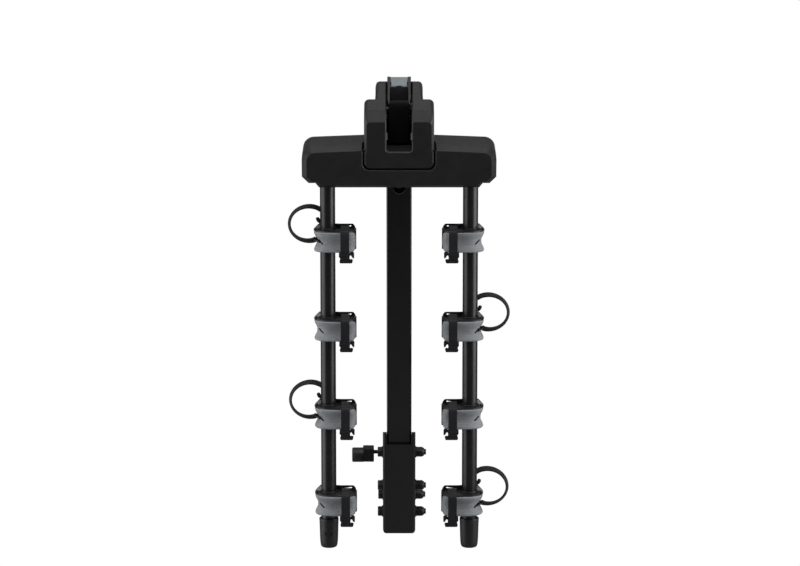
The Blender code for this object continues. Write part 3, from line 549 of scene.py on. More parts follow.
def opening_chamfer(skin, half, low, corner):
    """A three-sided bar that cuts a chamfer round a U-shaped opening whose legs climb the skin.

    skin is the visible surface's (y, z) profile, from the front face up.
    """
    legs = []
    for index in range(1, len(skin)):
        before = Vector(skin[index]) - Vector(skin[index - 1])
        after = before
        if index + 1 < len(skin):
            after = Vector(skin[index + 1]) - Vector(skin[index])
        normal = Vector((-before.y, before.x)).normalized()
        normal += Vector((-after.y, after.x)).normalized()
        legs.append((skin[index], (0.0, normal.x, normal.y)))
    # Each point of the edge, with the directions out of the skin and into the opening.
    edge = [((-half, y, z), out, (1.0, 0.0, 0.0)) for (y, z), out in reversed(legs)]
    for x, start in ((corner - half, 180.0), (half - corner, 270.0)):
        for a, b in arc((0.0, 0.0), 1.0, start, start + 90.0, 8):
            point = (x + corner * a, skin[0][0], low + corner + corner * b)
            edge.append((point, (0.0, -1.0, 0.0), (-a, 0.0, -b)))
    edge += [((half, y, z), out, (-1.0, 0.0, 0.0)) for (y, z), out in legs]
    reach = OPENING_CHAMFER + 1.0
    rings = []
    for point, out, into in edge:
        point = Vector(point)
        out = Vector(out).normalized()
        into = Vector(into).normalized()
        rings.append([point + out + into, point + out - into * reach, point - out * reach + into])
    return mesh_from(rings)


def head_shell(sections):
    """Head outlines of (y, inset, drop), outside and back inside."""
    return mesh_from([along_y(head_outline(inset, drop), y) for y, inset, drop in sections])


def crossbar_cover():
    wall = HEAD_WALL
    mesh = head_shell((
        (HEAD_FRONT, 10.0, 7.2),
        (HEAD_FRONT + 17.0, 0.0, 4.0),
        (HEAD_FRONT + 39.0, 0.0, 0.0),
        (HEAD_SEAM, 0.0, 0.0),
        (HEAD_SEAM, wall, wall),
        (HEAD_FRONT + 40.0, wall, wall),
        (HEAD_FRONT + 18.5, wall, wall + 4.0),
        (HEAD_FRONT + wall, 12.5, 10.4),
    ))
    opening = u_outline(OPENING_HALF, OPENING_LOW, OPENING_CORNER, 0.0, 10)
    gate = NECK_HALF + 0.3
    skin = [(HEAD_FRONT, -60.0), (HEAD_FRONT, -43.6), (HEAD_FRONT + 17.0, -40.2)]
    skin += [(HEAD_FRONT + 39.0, -35.9)]
    tools = [
        ("DIFFERENCE", opening_chamfer(skin, OPENING_HALF, OPENING_LOW, OPENING_CORNER)),
        ("DIFFERENCE", prism(opening, HEAD_FRONT - 5.0, -102.5, along_y)),
        ("DIFFERENCE", block((-gate, -110.0, -50.0), (gate, -50.0, 0.0))),
    ]
    arm_x = box_centre("arm_tube_right").x / MM
    for x in (-arm_x, arm_x):
        tools.append(("DIFFERENCE", prism(circle(17.0, 48, (x, -117.5)), -150.0, -80.0, along_z)))
    mesh = carved(mesh, tools)
    replaced = ["crossbar_cover"]
    piece("crossbar_front", mesh, MAST_FRAME, "cover", "head", replaced, bevel=1.0, angle=50.0)
    nub_profile = [(4.2, -119.0), (4.2, -121.5), (3.6, -123.0), (2.2, -124.0)]
    nub = turned(nub_profile, 32, along_z, (0.0, -128.0))
    piece("cover_stop", nub, MAST_FRAME, "plastic", "head", angle=60.0)


def rear_cover():
    wall = HEAD_WALL
    front = HEAD_SEAM + 0.3
    mesh = head_shell((
        (HEAD_BACK, 8.0, 8.0),
        (HEAD_BACK - 8.0, 0.0, 0.0),
        (front, 0.0, 0.0),
        (front, wall, wall),
        (HEAD_BACK - 9.0, wall, wall),
        (HEAD_BACK - wall, 10.0, 10.0),
    ))
    gate = NECK_HALF + 0.3
    tools = [("DIFFERENCE", block((-gate, -70.0, -84.0), (gate, -30.0, 0.0)))]
    screw = (                  # radius and how far in front of the cover's back
        (4.2, 2.6), (4.2, 0.9), (3.2, 0.3), (1.9, 0.3), (1.7, 1.4),
    )
    screws = []
    for x in (-168.0, -84.0, 84.0, 168.0):
        centre = (x, -74.0)
        recess = prism(circle(5.2, 32, centre), HEAD_BACK - 1.6, -30.0, along_y)
        tools.append(("DIFFERENCE", recess))
        profile = [(radius, HEAD_BACK - depth) for radius, depth in screw]
        screws.append(turned(profile, 32, along_y, centre))
    piece("crossbar_back", carved(mesh, tools), MAST_FRAME, "cover", "head", ["rear_cover"], bevel=1.0)
    piece("cover_screws", joined(screws), MAST_FRAME, "fastener", "head", angle=40.0)


def hump_section(y, half, top, bottom, radius, low_radius=1.0):
    """A section of the centre cover: rounded above and below."""
    outline = arc((half - low_radius, bottom + low_radius), low_radius, -90.0, 0.0, 8)
    outline += arc((half - radius, top - radius), radius, 0.0, 90.0, 8)
    outline += arc((radius - half, top - radius), radius, 90.0, 180.0, 8)
    outline += arc((low_radius - half, bottom + low_radius), low_radius, 180.0, 270.0, 8)
    return along_y(outline, y)


NECK_ROOF = (
    (-112.0, 42.5), (-103.0, 47.2), (-72.0, 58.0), (-44.0, 67.4), (-34.0, 67.6), (-6.0, 61.6),
    (10.0, 56.6), (26.0, 49.6), (46.0, 36.0),
)


def neck_sections(inset):
    """The neck behind the hump, narrower where its roof is higher."""
    sections = []
    for y, top in NECK_ROOF:
        half = NECK_HALF - inset - max(0.0, top - 50.0) * 0.12
        sections.append(hump_section(y, half, top - inset, -34.9 - inset, 8.0))
    return sections


def neck_hollow():
    """The neck's inside, open towards the mast."""
    sections = neck_sections(HEAD_WALL)
    sections[0] = [(x, -109.0, z) for x, y, z in sections[0]]
    sections[-1] = [(x, 50.0, z) for x, y, z in sections[-1]]
    return mesh_from(sections)


def tongue_outline(inset):
    """Front view of the tongue below the hump, with slanted feet that run up into the hump."""
    half = HUMP_HALF - 1.0 - inset
    outline = u_outline(half, -78.3 + inset, 12.0 - inset, -47.0, 10)
    return outline + [(half - 3.4, -43.0), (3.4 - half, -43.0)]


def centre_cover():
    """The hump with its tongue, the neck behind it and the channel for the release lever."""
    wall = HEAD_WALL
    face = HEAD_FRONT - 0.8
    hump = mesh_from([
        hump_section(face, HUMP_HALF - 5.0, 14.0, HUMP_LOW + 4.0, 7.0, 9.0),
        hump_section(face + 6.8, HUMP_HALF, 22.5, HUMP_LOW, 9.0, 12.0),
        hump_section(HEAD_FRONT + 16.0, HUMP_HALF, 35.0, HUMP_LOW, 10.0, 12.0),
        hump_section(-103.0, HUMP_HALF, 47.4, HUMP_LOW, 10.0, 12.0),
    ])
    tongue = mesh_from([
        along_y(tongue_outline(1.6), face),
        along_y(tongue_outline(0.0), face + 1.6),
        along_y(tongue_outline(0.0), HEAD_FRONT + 10.0),
    ])
    hollow = mesh_from([
        hump_section(HEAD_FRONT + wall, HUMP_HALF - 7.5, 12.0, HUMP_LOW + 7.5, 5.0, 8.0),
        hump_section(HEAD_FRONT + 9.0, HUMP_HALF - wall, 20.5, HUMP_LOW + wall, 7.0, 9.0),
        hump_section(HEAD_FRONT + 18.0, HUMP_HALF - wall, 32.0, HUMP_LOW + wall, 8.0, 9.0),
        hump_section(-103.0 - wall, HUMP_HALF - wall, 43.6, HUMP_LOW + wall, 8.0, 9.0),
    ])
    channel = u_outline(CHANNEL_HALF, CHANNEL_LIP, CHANNEL_CORNER, 100.0, 6)
    skin = (
        (face, 0.0), (face, 14.0), (face + 6.8, 22.5), (HEAD_FRONT + 16.3, 35.15), (-101.7, 47.85),
        (-44.0, 67.6),
    )
    lip = [(-153.4, CHANNEL_LIP - 4.0), (-153.4, CHANNEL_LIP), (-130.5, CHANNEL_LIP + 6.5)]
    lip += [(-130.5, CHANNEL_LIP + 3.5), (-146.0, CHANNEL_LIP - 4.0)]
    wall_side = [(-153.3, CHANNEL_LIP - 1.0), (-153.3, 12.0), (-147.0, 20.0), (-137.0, 32.0)]
    wall_side += [(-117.0, 39.8), (-117.0, 30.0), (-114.0, 27.0), (-114.0, -38.0), (-130.4, -39.0)]
    inside, outside = CHANNEL_HALF - 0.1, CHANNEL_HALF + 0.7
    mesh = carved(hump, [
        ("UNION", tongue),
        ("UNION", mesh_from(neck_sections(0.0))),
        ("DIFFERENCE", hollow),
        ("DIFFERENCE", neck_hollow()),
        ("DIFFERENCE", block((-80.0, HEAD_FRONT + 9.0, -90.0), (80.0, -60.2, -34.6))),
        ("DIFFERENCE", block((-60.0, -104.0, -60.0), (60.0, -60.2, -34.6))),
        ("DIFFERENCE", opening_chamfer(skin, CHANNEL_HALF, CHANNEL_LIP, CHANNEL_CORNER)),
        ("DIFFERENCE", prism(channel, -170.0, -32.0, along_y)),
        ("UNION", prism(lip, -CHANNEL_HALF - 1.4, CHANNEL_HALF + 1.4)),
        ("UNION", prism(wall_side, -outside, -inside)),
        ("UNION", prism(wall_side, inside, outside)),
        ("UNION", block((-CHANNEL_HALF - 1.5, -33.0, 34.0), (CHANNEL_HALF + 1.5, -30.0, 66.0))),
    ])
    piece("centre_shell", mesh, MAST_FRAME, "cover", "head", ["centre_cover"], bevel=0.5, angle=50.0)


# ---------------------------------------------------------------- release lever
LEVER_EAR = (
    (-36.0, 77.8), (-60.0, 64.6), (-86.0, 54.2), (-110.0, 44.6), (-114.0, 41.0), (-114.0, 24.0),
    (-96.0, 20.0), (-72.0, 18.0), (-56.0, 26.0), (-38.0, 62.0),
)
LEVER_FRONT = (
    (-111.0, 46.6), (-114.0, 45.0), (-117.4, 37.0), (-119.2, 14.0), (-119.4, -12.0), (-118.4, -36.4),
)
LEVER_HALF = 18.2
LEVER_PLATE_HALF = 19.0


def ear_mesh(side):
    """A side plate of the lever: wider at the grip, thinner towards the pivot."""
    rings = []
    for outer in (False, True):
        ring = []
        for y, z in LEVER_EAR:
            share = max(0.0, min(1.0, (-36.0 - y) / 60.0))
            x = 23.3 - 2.3 * share if outer else 16.9 + 1.6 * min(1.0, share * 2.0)
            ring.append((side * x, y, z))
        rings.append(ring)
    return mesh_from(rings)


def release_lever():
    """The lever's body with its two ears, and the plate that hangs down in the channel."""
    pivot_y, pivot_z = in_mast(JOINTS["release_lever"]["pos_m"])
    wall = [(-56.0, 66.0), (-62.0, 62.5), (-66.0, 42.0), (-69.0, 25.0), (-100.0, 27.0), (-100.0, 22.0)]
    wall += [(-70.0, 19.0), (-56.0, 26.0)]
    saddle = [(-36.5, 68.0), (-60.4, 57.6), (-58.0, 53.0), (-37.0, 63.0)]
    hub = prism(circle(8.0, 40, (pivot_y, pivot_z)), -LEVER_PLATE_HALF, LEVER_PLATE_HALF)
    bore = prism(circle(3.3, 32, (pivot_y, pivot_z)), -30.0, 30.0)
    spring_peg = prism(circle(2.0, 24, (pivot_y, pivot_z + 7.5)), 19.0, 25.0)
    mesh = carved(prism(wall, -LEVER_HALF, LEVER_HALF), [
        ("UNION", prism(saddle, -LEVER_HALF, LEVER_HALF)),
        ("UNION", ear_mesh(-1.0)),
        ("UNION", ear_mesh(1.0)),
        ("DIFFERENCE", bore),
        ("UNION", spring_peg),
    ])
    piece("lever_body", mesh, MAST_FRAME, "plastic", "lever", ["release_lever"], bevel=0.6)
    shell = [(-110.4, 46.6)] + smooth_path(LEVER_FRONT, 5)
    shell += [(-113.6, -36.8), (-114.9, -12.0), (-115.0, 14.0), (-112.0, 22.0), (-108.0, 34.0)]
    plate = prism(shell, -LEVER_PLATE_HALF, LEVER_PLATE_HALF)
    plate = carved(plate, [("UNION", hub), ("DIFFERENCE", bore)])
    # the plate takes the darker finish, which is painted shade for its place deep in the channel
    piece("lever_plate", plate, MAST_FRAME, "shadow", "lever", bevel=0.5)


def lever_grip():
    """The soft pad on the lever's top, narrower at its lower end, with a thumb notch."""
    top_half, low_half = 17.1, 14.6
    side = (
        (-37.0, 75.4), (-38.0, 77.4), (-40.4, 77.8), (-57.4, 68.6), (-61.4, 64.6), (-61.6, 60.4),
        (-36.8, 70.6),
    )
    rings = []
    for sign in (-1.0, 1.0):
        ring = []
        for y, z in side:
            share = max(0.0, min(1.0, (-44.0 - y) / 17.0))
            ring.append((sign * (top_half + (low_half - top_half) * share), y, z))
        rings.append(ring)
    notch = mesh_from([
        along_y(rounded_box(6.6, 4.4, 3.2, 6, (0.0, 59.6)), -63.5),
        along_y(rounded_box(6.6, 4.4, 3.2, 6, (0.0, 62.0)), -57.0),
    ])
    mesh = carved(mesh_from(rings), [("DIFFERENCE", notch)])
    piece("lever_soft_grip", mesh, MAST_FRAME, "grip", "lever", ["lever_grip"], bevel=1.0)


# ---------------------------------------------------------------- arms
ARM_RADIUS = 15.0
ARM_BORE = 12.0


def arms():
    for side in SIDES:
        low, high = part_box("arm_tube_" + side)
        height = (high[2] - low[2]) / MM
        matrix = arm_frame(side, low[2])
        profile = [(ARM_BORE, 0.6), (ARM_BORE + 0.4, 0.0), (ARM_RADIUS - 0.6, 0.0), (ARM_RADIUS, 0.6)]
        profile += [(ARM_RADIUS, height * step / 8) for step in range(1, 8)]
        profile += [(ARM_RADIUS, height - 0.6), (ARM_RADIUS - 0.6, height)]
        profile += [(ARM_BORE + 0.4, height), (ARM_BORE, height - 0.6)]
        mesh = turned(profile, 72, along_z, closed=True)
        piece("arm_" + side, mesh, matrix, "arm_coat", "head", ["arm_tube_" + side])
        end_cap(side)


def end_cap(side):
    """A flared cap; the left one has two moulded recesses in front."""
    cap_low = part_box("end_cap_" + side)[0]
    matrix = arm_frame(side, cap_low[2] + 2.0 * MM)
    profile = [(4.0, -2.0), (9.0, -2.0), (12.6, -1.7), (14.8, -0.7), (16.2, 1.2), (17.0, 4.5)]
    profile += [(17.5, 9.0), (18.0, 16.0), (18.5, 34.0), (19.0, 50.0), (19.3, 55.0), (19.3, 57.0)]
    profile += [(19.0, 57.8), (18.4, 58.0), (17.6, 57.7), (16.8, 56.0), (15.4, 51.0), (15.3, 2.5)]
    mesh = turned(profile, 72, along_z)
    if side == "left":
        tools = []
        for x in (-11.5, 2.8):
            outline = rounded_box(4.35, 3.5, 1.6, 4, (x + 4.35, 28.5))
            tools.append(("DIFFERENCE", prism(outline, -25.0, -16.2, along_y)))
        mesh = carved(mesh, tools)
    piece("end_cap_shell_" + side, mesh, matrix, "plastic", "head", ["end_cap_" + side], angle=40.0)


# ---------------------------------------------------------------- cradles
# Outlines seen from above the cradle: x and reach, the distance towards the bike side.
PAD_HALF_HEIGHT = 19.7
PAD_LIP = (
    (-26.0, -4.0), (-27.2, 5.0), (-24.5, 20.0), (-15.5, 32.5), (0.0, 39.0), (20.0, 40.3), (40.0, 40.3),
    (50.0, 34.5), (54.0, 24.0), (55.2, 14.0),
)
PAD_BACK = (
    (-20.2, -3.0), (-20.4, 4.0), (-18.0, 13.0), (-11.0, 22.0), (0.0, 27.0), (20.0, 27.0), (40.0, 27.0),
    (45.5, 24.0), (47.0, 18.0), (47.2, 12.0),
)
DECK = (                       # closed outline of the deck, from the outer side round the front
    (-27.5, -2.0), (-27.0, 8.0), (-23.0, 20.0), (-14.0, 30.0), (0.0, 36.0), (20.0, 37.2), (40.0, 36.6),
    (48.6, 31.0), (53.0, 22.0), (55.4, 10.0), (55.4, -8.0), (51.0, -15.4), (42.0, -17.4),
    (24.0, -17.4), (12.0, -20.5), (0.0, -23.5), (-14.0, -22.0), (-24.0, -14.0), (-27.5, -3.0),
)
WELL = (                       # the sunken floor inside the deck's rim, open towards the front
    (-25.6, -2.0), (-24.6, 8.0), (-22.0, 14.0), (-40.0, 34.0), (0.0, 60.0), (45.0, 60.0),
    (60.0, 30.0), (52.6, 22.0), (53.6, 9.0), (53.4, -7.0), (49.6, -13.6), (42.0, -15.4),
    (24.0, -15.4), (12.0, -18.6), (0.0, -21.6), (-13.0, -20.2), (-22.4, -13.0), (-25.6, -3.0),
)


def facing(outline, z):
    """(x, reach) outlines to arm coordinates: reach points to the bike side."""
    return [(x, -reach, z) for x, reach in outline]


def smooth_step(value, low, high):
    """0 at low, 1 at high and an S-curve between; low may be the larger."""
    t = max(0.0, min(1.0, (value - low) / (high - low)))
    return t * t * (3.0 - 2.0 * t)


def pad_mesh():
    """The saddle: ribbed lips and trough bent round the arm, with a rounded inner end."""
    lips = smooth_path(PAD_LIP, 6)
    backs = smooth_path(PAD_BACK, 6)
    last = len(lips) - 1
    steps = 56
    rings = []
    for index, (back, lip) in enumerate(zip(backs, lips)):
        inner_end = smooth_step(index / last, 0.66, 0.98)
        outer_end = smooth_step(index / last, 0.12, 0.0)
        waist = 0.50 - 0.36 * smooth_step(index / last, 0.45, 0.05)
        height = PAD_HALF_HEIGHT * (1.0 - 0.04 * outer_end - 0.10 * inner_end ** 2)
        section = [(0.0, -height), (0.4, -height)]
        for step in range(steps + 1):
            level = -1.0 + 2.0 * step / steps
            trough = waist + (0.96 - waist) * smooth_step(abs(level), 0.12, 0.9)
            bulge = 0.60 + 0.44 * math.sqrt(max(0.0, 1.0 - level * level))
            share = trough + (bulge - trough) * inner_end
            share -= 0.20 * max(0.0, (abs(level) - 0.88) / 0.12) ** 2
            if step % 4 == 2 and abs(level) < 0.93:
                share -= 0.04
            section.append((share, level * height))
        section += [(0.4, height), (0.0, height)]
        ring = []
        for share, z in section:
            x, reach = back.lerp(lip, share)
            ring.append((x, -reach, z))
        rings.append(ring)
    return carved(mesh_from(rings), [("DIFFERENCE", slot_tool())])


def slot_tool():
    """The slanted slot at the outer waist that an anti-sway strap comes out of."""
    length, width = 6.4, 1.5
    outline = arc((length - width, 0.0), width, -90.0, 90.0, 6)
    outline += arc((width - length, 0.0), width, 90.0, 270.0, 6)
    tool = prism(outline, -40.0, -10.0, along_y)
    slant = Matrix.Rotation(math.radians(43.0), 4, "Y")
    tool.transform(Matrix.Translation((-12.8, 0.0, -0.2)) @ slant)
    return tool


def base_mesh():
    """Clamp body, rounded deck with its rim round the arm, and the frame of the inner end."""
    body = arc((0.0, 0.0), 19.5, 120.0, 290.0, 28)
    body += [(46.0, -7.0), (46.0, 20.0), (41.0, 26.0), (0.0, 26.4)]
    slot = [(24.0, -14.4), (45.0, -14.4), (45.0, -9.0), (24.0, -9.0)]
    frame_end = [(45.4, -12.0), (51.6, -12.0), (56.0, -6.0), (56.2, 10.0), (54.2, 17.0), (53.0, 16.0)]
    frame_end += [(53.8, 9.0), (53.6, -3.0), (50.6, -7.0), (45.4, -6.6)]
    see_through = [(31.0, 25.4), (38.0, 26.2), (44.6, 27.6), (46.0, 26.8), (45.9, 25.6), (44.6, 24.8)]
    see_through += [(31.0, 24.6)]
    outer_slant = [(-40.0, 21.0), (-27.6, 22.6), (-24.0, 25.4), (-16.0, 32.0), (-40.0, 40.0)]
    inner_slant = [(45.4, 32.0), (50.0, 30.0), (53.2, 26.6), (55.2, 21.0), (70.0, 20.0), (70.0, 40.0)]
    return carved(prism(body, -19.0, 22.0, facing), [
        ("UNION", prism(smooth_path(DECK, 5), PAD_HALF_HEIGHT + 0.3, 30.6, facing)),
        ("DIFFERENCE", prism(smooth_path(WELL, 5), 22.4, 40.0, facing)),
        ("DIFFERENCE", prism(outer_slant, -50.0, 50.0, along_y)),
        ("DIFFERENCE", prism(inner_slant, -50.0, 50.0, along_y)),
        ("UNION", prism(frame_end, -15.5, 23.5, facing)),
        ("DIFFERENCE", prism(slot, -30.0, 40.0, facing)),
        ("DIFFERENCE", prism(circle(15.3, 48), -30.0, 40.0, along_z)),
        ("DIFFERENCE", prism(see_through, 10.0, 30.0, along_y)),
        ("UNION", collar_mesh()),
    ])


def well_lining():
    """The grey rubber that slopes up to the rim, behind the arm's outer side."""
    outer = [(x, reach) for x, reach in smooth_path(WELL, 5) if x < -6.0 and reach < -2.4]
    inner = []
    for x, reach in reversed(outer):
        inward = 15.7 / math.hypot(x, reach)
        inner.append((x * inward, reach * inward))
    slant = [(-40.0, 20.2), (-27.6, 21.8), (-24.0, 24.6), (-16.0, 31.2), (-40.0, 40.0)]
    above = [(-5.0, 21.6), (22.0, 30.2), (22.0, 40.0), (-5.0, 40.0)]
    return carved(prism(outer + inner, 22.3, 29.8, facing), [
        ("DIFFERENCE", prism(slant, -50.0, 50.0, along_y)),
        ("DIFFERENCE", prism(above, -50.0, 0.0)),
    ])


def collar_mesh():
    """The raised ring that hugs the arm inside the cradle's top."""
    profile = [(15.35, 21.0), (17.8, 21.0), (17.8, 24.0), (17.2, 24.8), (15.35, 24.8)]
    return turned(profile, 48, along_z, closed=True)


STRAP_MIDDLE = 34.4
STRAP_ROUTE = (                # reach, height
    (-11.5, 24.0), (-5.0, 27.0), (3.0, 28.2), (13.0, 27.6), (23.0, 26.2), (33.0, 25.1), (38.5, 24.6),
    (42.4, 22.0), (44.0, 16.5), (44.4, 8.0), (44.5, -4.0), (44.6, -16.0), (44.6, -24.0), (44.6, -33.0),
)


def ribbon(path, frames, width, thickness, rib_height):
    """A ladder strap: a flat band with two edge rails, a centre rail and cross ribs.

    path is the centreline, frames the (across, outward) directions at each point.  A rib
    takes two points of every four.
    """
    rings = []
    half = width / 2
    top = thickness / 2
    rail_top = top + rib_height * 0.8
    rail = 1.6
    for index, (point, (across, outward)) in enumerate(zip(path, frames)):
        web = top + rib_height if index % 4 < 2 else top
        profile = (
            (-half, -top), (half, -top), (half, rail_top), (half - rail, rail_top),
            (half - rail - 0.3, web), (1.3, web), (1.0, rail_top), (-1.0, rail_top), (-1.3, web),
            (rail + 0.3 - half, web), (rail - half, rail_top), (-half, rail_top),
        )
        rings.append([point + across * a + outward * b for a, b in profile])
    return mesh_from(rings)


def direction(path, index):
    """Unit direction of a path at one of its points."""
    after = path[min(index + 1, len(path) - 1)]
    before = path[max(index - 1, 0)]
    return (after - before).normalized()


def resampled(path, spacing):
    """Points at an even spacing along a path."""
    result = [path[0].copy()]
    left = spacing
    for start, end in zip(path, path[1:]):
        length = (end - start).length
        at = left
        while at <= length:
            result.append(start.lerp(end, at / length))
            at += spacing
        left = at - length
    return result


def strap_mesh():
    """The ladder strap from the deck over the saddle's front, and its buckle."""
    route = smooth_path([(STRAP_MIDDLE, -reach, z) for reach, z in STRAP_ROUTE], 6)
    route = resampled(route, 0.9)
    across = Vector((1.0, 0.0, 0.0))
    frames = []
    for index in range(len(route)):
        frames.append((across, across.cross(direction(route, index)).normalized()))
    band = ribbon(route, frames, 17.0, 1.8, 0.7)
    return joined([band] + buckle_meshes())


def buckle_meshes():
    """Buckle below the saddle: a wide body, a foot, and two claws that leave a notch."""
    def plate(outline, near, far):
        return prism(outline, -far, -near, along_y)

    upper = [(22.9, -19.6), (44.6, -19.6), (46.4, -17.6), (51.2, -17.4), (52.6, -20.0), (52.4, -29.0)]
    upper += [(51.2, -30.2), (48.8, -28.4), (46.6, -24.6), (44.8, -24.0), (43.6, -26.8), (43.6, -30.6)]
    upper += [(25.2, -30.6), (24.0, -28.6), (22.6, -27.2)]
    foot = [(25.4, -30.2), (43.0, -30.2), (44.6, -32.4), (46.6, -31.4), (49.6, -32.6), (50.0, -34.0)]
    foot += [(48.8, -38.6), (47.4, -39.6), (26.0, -39.6), (24.6, -38.4), (23.8, -36.0)]
    roller = turned([(0.8, 25.6), (1.6, 26.0), (1.6, 41.2), (0.8, 41.6)], 20, along_x, (-44.4, -27.4))
    body = carved(plate(upper, 37.8, 43.2), [
        ("UNION", plate(foot, 38.6, 43.8)),
        ("UNION", plate(rounded_box(7.8, 1.5, 0.9, 3, (33.4, -34.8)), 43.0, 47.4)),
        ("UNION", plate(rounded_box(9.8, 2.0, 1.2, 3, (33.4, -22.4)), 42.0, 47.2)),
    ])
    return [body, roller]


def sway_mesh():
    """Anti-sway strap: a flat band in a ring, from the pad's slot round to behind the arm."""
    centre_x, centre_z, radius_x, radius_z = -38.0, 32.8, 37.0, 31.8
    start, sweep, steps = -62.0, -291.0, 22
    route = [Vector((-12.6, -24.0, -0.4)), Vector((-16.4, -20.0, 1.4))]
    for index in range(steps + 1):
        share = index / steps
        angle = math.radians(start + sweep * share)
        x = centre_x + radius_x * math.cos(angle)
        reach = 14.0 - 39.0 * smooth_step(share, 0.0, 1.0)
        z = centre_z + radius_z * math.sin(angle)
        route.append(Vector((x, -reach, z)))
    path = resampled(smooth_path(route, 5), 1.0)
    frames = []
    for index, point in enumerate(path):
        run = direction(path, index)
        radial = Vector((point.x - centre_x, 0.0, point.z - centre_z))
        radial = (radial - run * radial.dot(run)).normalized()
        away = run.cross(radial)
        if away.y < 0.0:
            away = -away
        share = index / (len(path) - 1)
        flare = 16.0 + 29.0 * smooth_step(share, 0.45, 0.0) + 4.0 * smooth_step(share, 0.45, 0.8)
        flare = math.radians(flare)
        across = away * math.cos(flare) + radial * math.sin(flare)
        frames.append((across, radial * math.cos(flare) - away * math.sin(flare)))
    band = ribbon(path, frames, 15.5, 2.0, 0.6)
    return joined([band, strap_end_mesh()])


def strap_end_mesh():
    """The rounded end of the anti-sway strap, standing up beside the arm."""
    route = ((-4.0, 21.0, 29.0), (-12.0, 21.0, 31.5), (-17.4, 20.0, 35.4), (-19.9, 19.0, 39.0),
             (-20.6, 18.5, 43.6))
    spine = resampled(smooth_path(route, 6), 0.6)
    rings = []
    for index, point in enumerate(spine):
        share = index / (len(spine) - 1)
        dome = max(0.0, (share - 0.86) / 0.14)
        radius = (2.4 + 1.4 * smooth_step(share, 0.3, 0.65)) * math.sqrt(1.0 - 0.98 * dome * dome)
        run = direction(spine, index)
        side = run.cross(Vector((0.0, 1.0, 0.0))).normalized()
        depth = run.cross(side).normalized()
        rings.append([point + side * a * radius + depth * b * radius * 1.4 for a, b in circle(1.0, 20)])
    return mesh_from(rings)


def cradles():
    pad = joined([pad_mesh(), well_lining()])
    base, strap, sway = base_mesh(), strap_mesh(), sway_mesh()
    for side in SIDES:
        for row in ROWS:
            end = f"_{side}_{row}"
            low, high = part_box("cradle_pad" + end)
            at = arm_frame(side, (low[2] + high[2]) / 2)
            cushion = piece("cushion" + end, pad, at, "pad", "head", ["cradle_pad" + end], angle=45.0)
            replaced = ["cradle_base" + end]
            piece("saddle_base" + end, base, at, "plastic", "head", replaced, bevel=0.5)
            replaced = ["cradle_strap" + end]
            piece("ladder_strap" + end, strap, at, "strap", "head", replaced, angle=35.0)
            if (row % 2 == 1) == (side == "left"):
                replaced = ["anti_sway_strap" + end]
                piece("sway_loop" + end, sway, at, "strap", "head", replaced, angle=35.0)


# ---------------------------------------------------------------- studio
FLOOR_Z = -0.45
CAMERA_PITCH = math.radians(9.0)
CAMERA_DISTANCE = 4.92
CAMERA_LENS = 112.5
CAMERA_AIM_X = 0.0018
CAMERA_AIM_Z = 0.532
SOFTBOXES = (                  # name, location, target, size, brightness
    ("top_softbox", (0.0, -1.0, 2.9), (0.0, -0.5, 0.8), (2.6, 2.4), 1.4),
    ("rear_softbox", (0.0, 1.1, 2.9), (0.0, -0.5, 0.8), (2.4, 0.9), 0.6),
    ("back_softbox", (0.4, 2.4, 0.35), (0.0, -0.4, 0.5), (2.6, 0.9), 0.8),
    ("left_softbox", (-1.35, -0.88, 0.65), (0.0, -0.75, 0.6), (1.4, 2.1), 2.03),
    ("right_softbox", (1.8, -1.1, 0.9), (0.0, -0.7, 0.65), (1.6, 2.1), 3.2),
)


def soft_light(name, location, target, size, radiance):
    """A rectangular softbox of a given brightness, never seen itself."""
    data = bpy.data.lights.new(name, "AREA")
    data.shape = "RECTANGLE"
    data.size, data.size_y = size
    data.energy = radiance * math.pi * size[0] * size[1]
    item = bpy.data.objects.new(name, data)
    item.location = location
    item.rotation_euler = (Vector(target) - Vector(location)).to_track_quat("-Z", "Y").to_euler()
    item.visible_camera = False
    bpy.context.collection.objects.link(item)


def seen_as_white(nodes, links, dim_shader, output, white):
    """White to the camera, while the rack is lit by the dimmer shader."""
    path = nodes.new("ShaderNodeLightPath")
    mix = nodes.new("ShaderNodeMixShader")
    links.new(path.outputs["Is Camera Ray"], mix.inputs["Fac"])
    links.new(dim_shader, mix.inputs[1])
    links.new(white, mix.inputs[2])
    links.new(mix.outputs["Shader"], output)


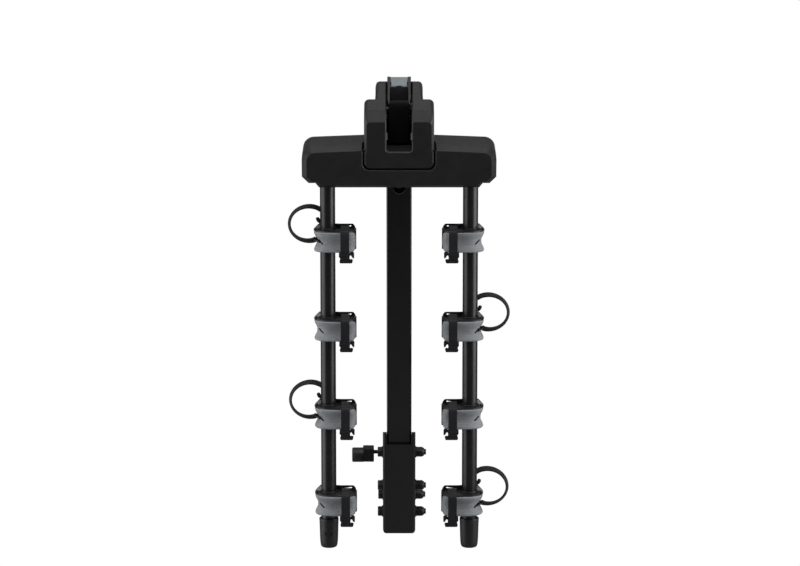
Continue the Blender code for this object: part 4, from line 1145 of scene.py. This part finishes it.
def pale_floor():
    """A pale floor at the height of the road under a vehicle's hitch."""
    material, nodes, links, shader = shader_nodes("floor_paint", 0.9, 0.1)
    place = nodes.new("ShaderNodeTexCoord").outputs["Object"]
    mottle = noise(nodes, links, place, 3.0, 2.0)
    links.new(ramp(nodes, links, mottle, ((0.3, (0.26, 0.26, 0.26)), (0.7, (0.3, 0.3, 0.3)))),
              shader.inputs["Base Color"])
    white = nodes.new("ShaderNodeEmission")
    output = nodes["Material Output"].inputs["Surface"]
    seen_as_white(nodes, links, shader.outputs["BSDF"], output, white.outputs["Emission"])
    mesh = block((-30.0, -30.0, -0.02), (30.0, 30.0, 0.0))
    mesh.materials.append(material)
    floor = bpy.data.objects.new("floor", mesh)
    floor.location.z = FLOOR_Z
    bpy.context.collection.objects.link(floor)


def white_room():
    world = bpy.data.worlds.new("studio")
    world.use_nodes = True
    nodes, links = world.node_tree.nodes, world.node_tree.links
    dim = nodes["Background"]
    dim.inputs["Color"].default_value = (1.0, 1.0, 1.0, 1.0)
    dim.inputs["Strength"].default_value = 0.15
    white = nodes.new("ShaderNodeBackground")
    white.inputs["Color"].default_value = (1.0, 1.0, 1.0, 1.0)
    output = nodes["World Output"].inputs["Surface"]
    seen_as_white(nodes, links, dim.outputs["Background"], output, white.outputs["Background"])
    bpy.context.scene.world = world


def camera():
    data = bpy.data.cameras.new("camera")
    data.lens = CAMERA_LENS
    data.sensor_width = 36.0
    item = bpy.data.objects.new("camera", data)
    target = Vector((CAMERA_AIM_X, box_centre("arm_tube_left").y, CAMERA_AIM_Z))
    back = Vector((0.0, -math.cos(CAMERA_PITCH), math.sin(CAMERA_PITCH)))
    item.location = target + back * CAMERA_DISTANCE
    item.rotation_euler = (math.pi / 2 - CAMERA_PITCH, 0.0, 0.0)
    bpy.context.collection.objects.link(item)
    bpy.context.scene.camera = item


def studio():
    pale_floor()
    white_room()
    for softbox in SOFTBOXES:
        soft_light(*softbox)
    camera()
    bpy.context.scene.view_settings.view_transform = "Standard"


studio()
finish_cad_nodes()
bracket()
fasteners()
pull_pin_guide()
pull_pin_grip()
crossbar_cover()
rear_cover()
centre_cover()
release_lever()
lever_grip()
arms()
cradles()
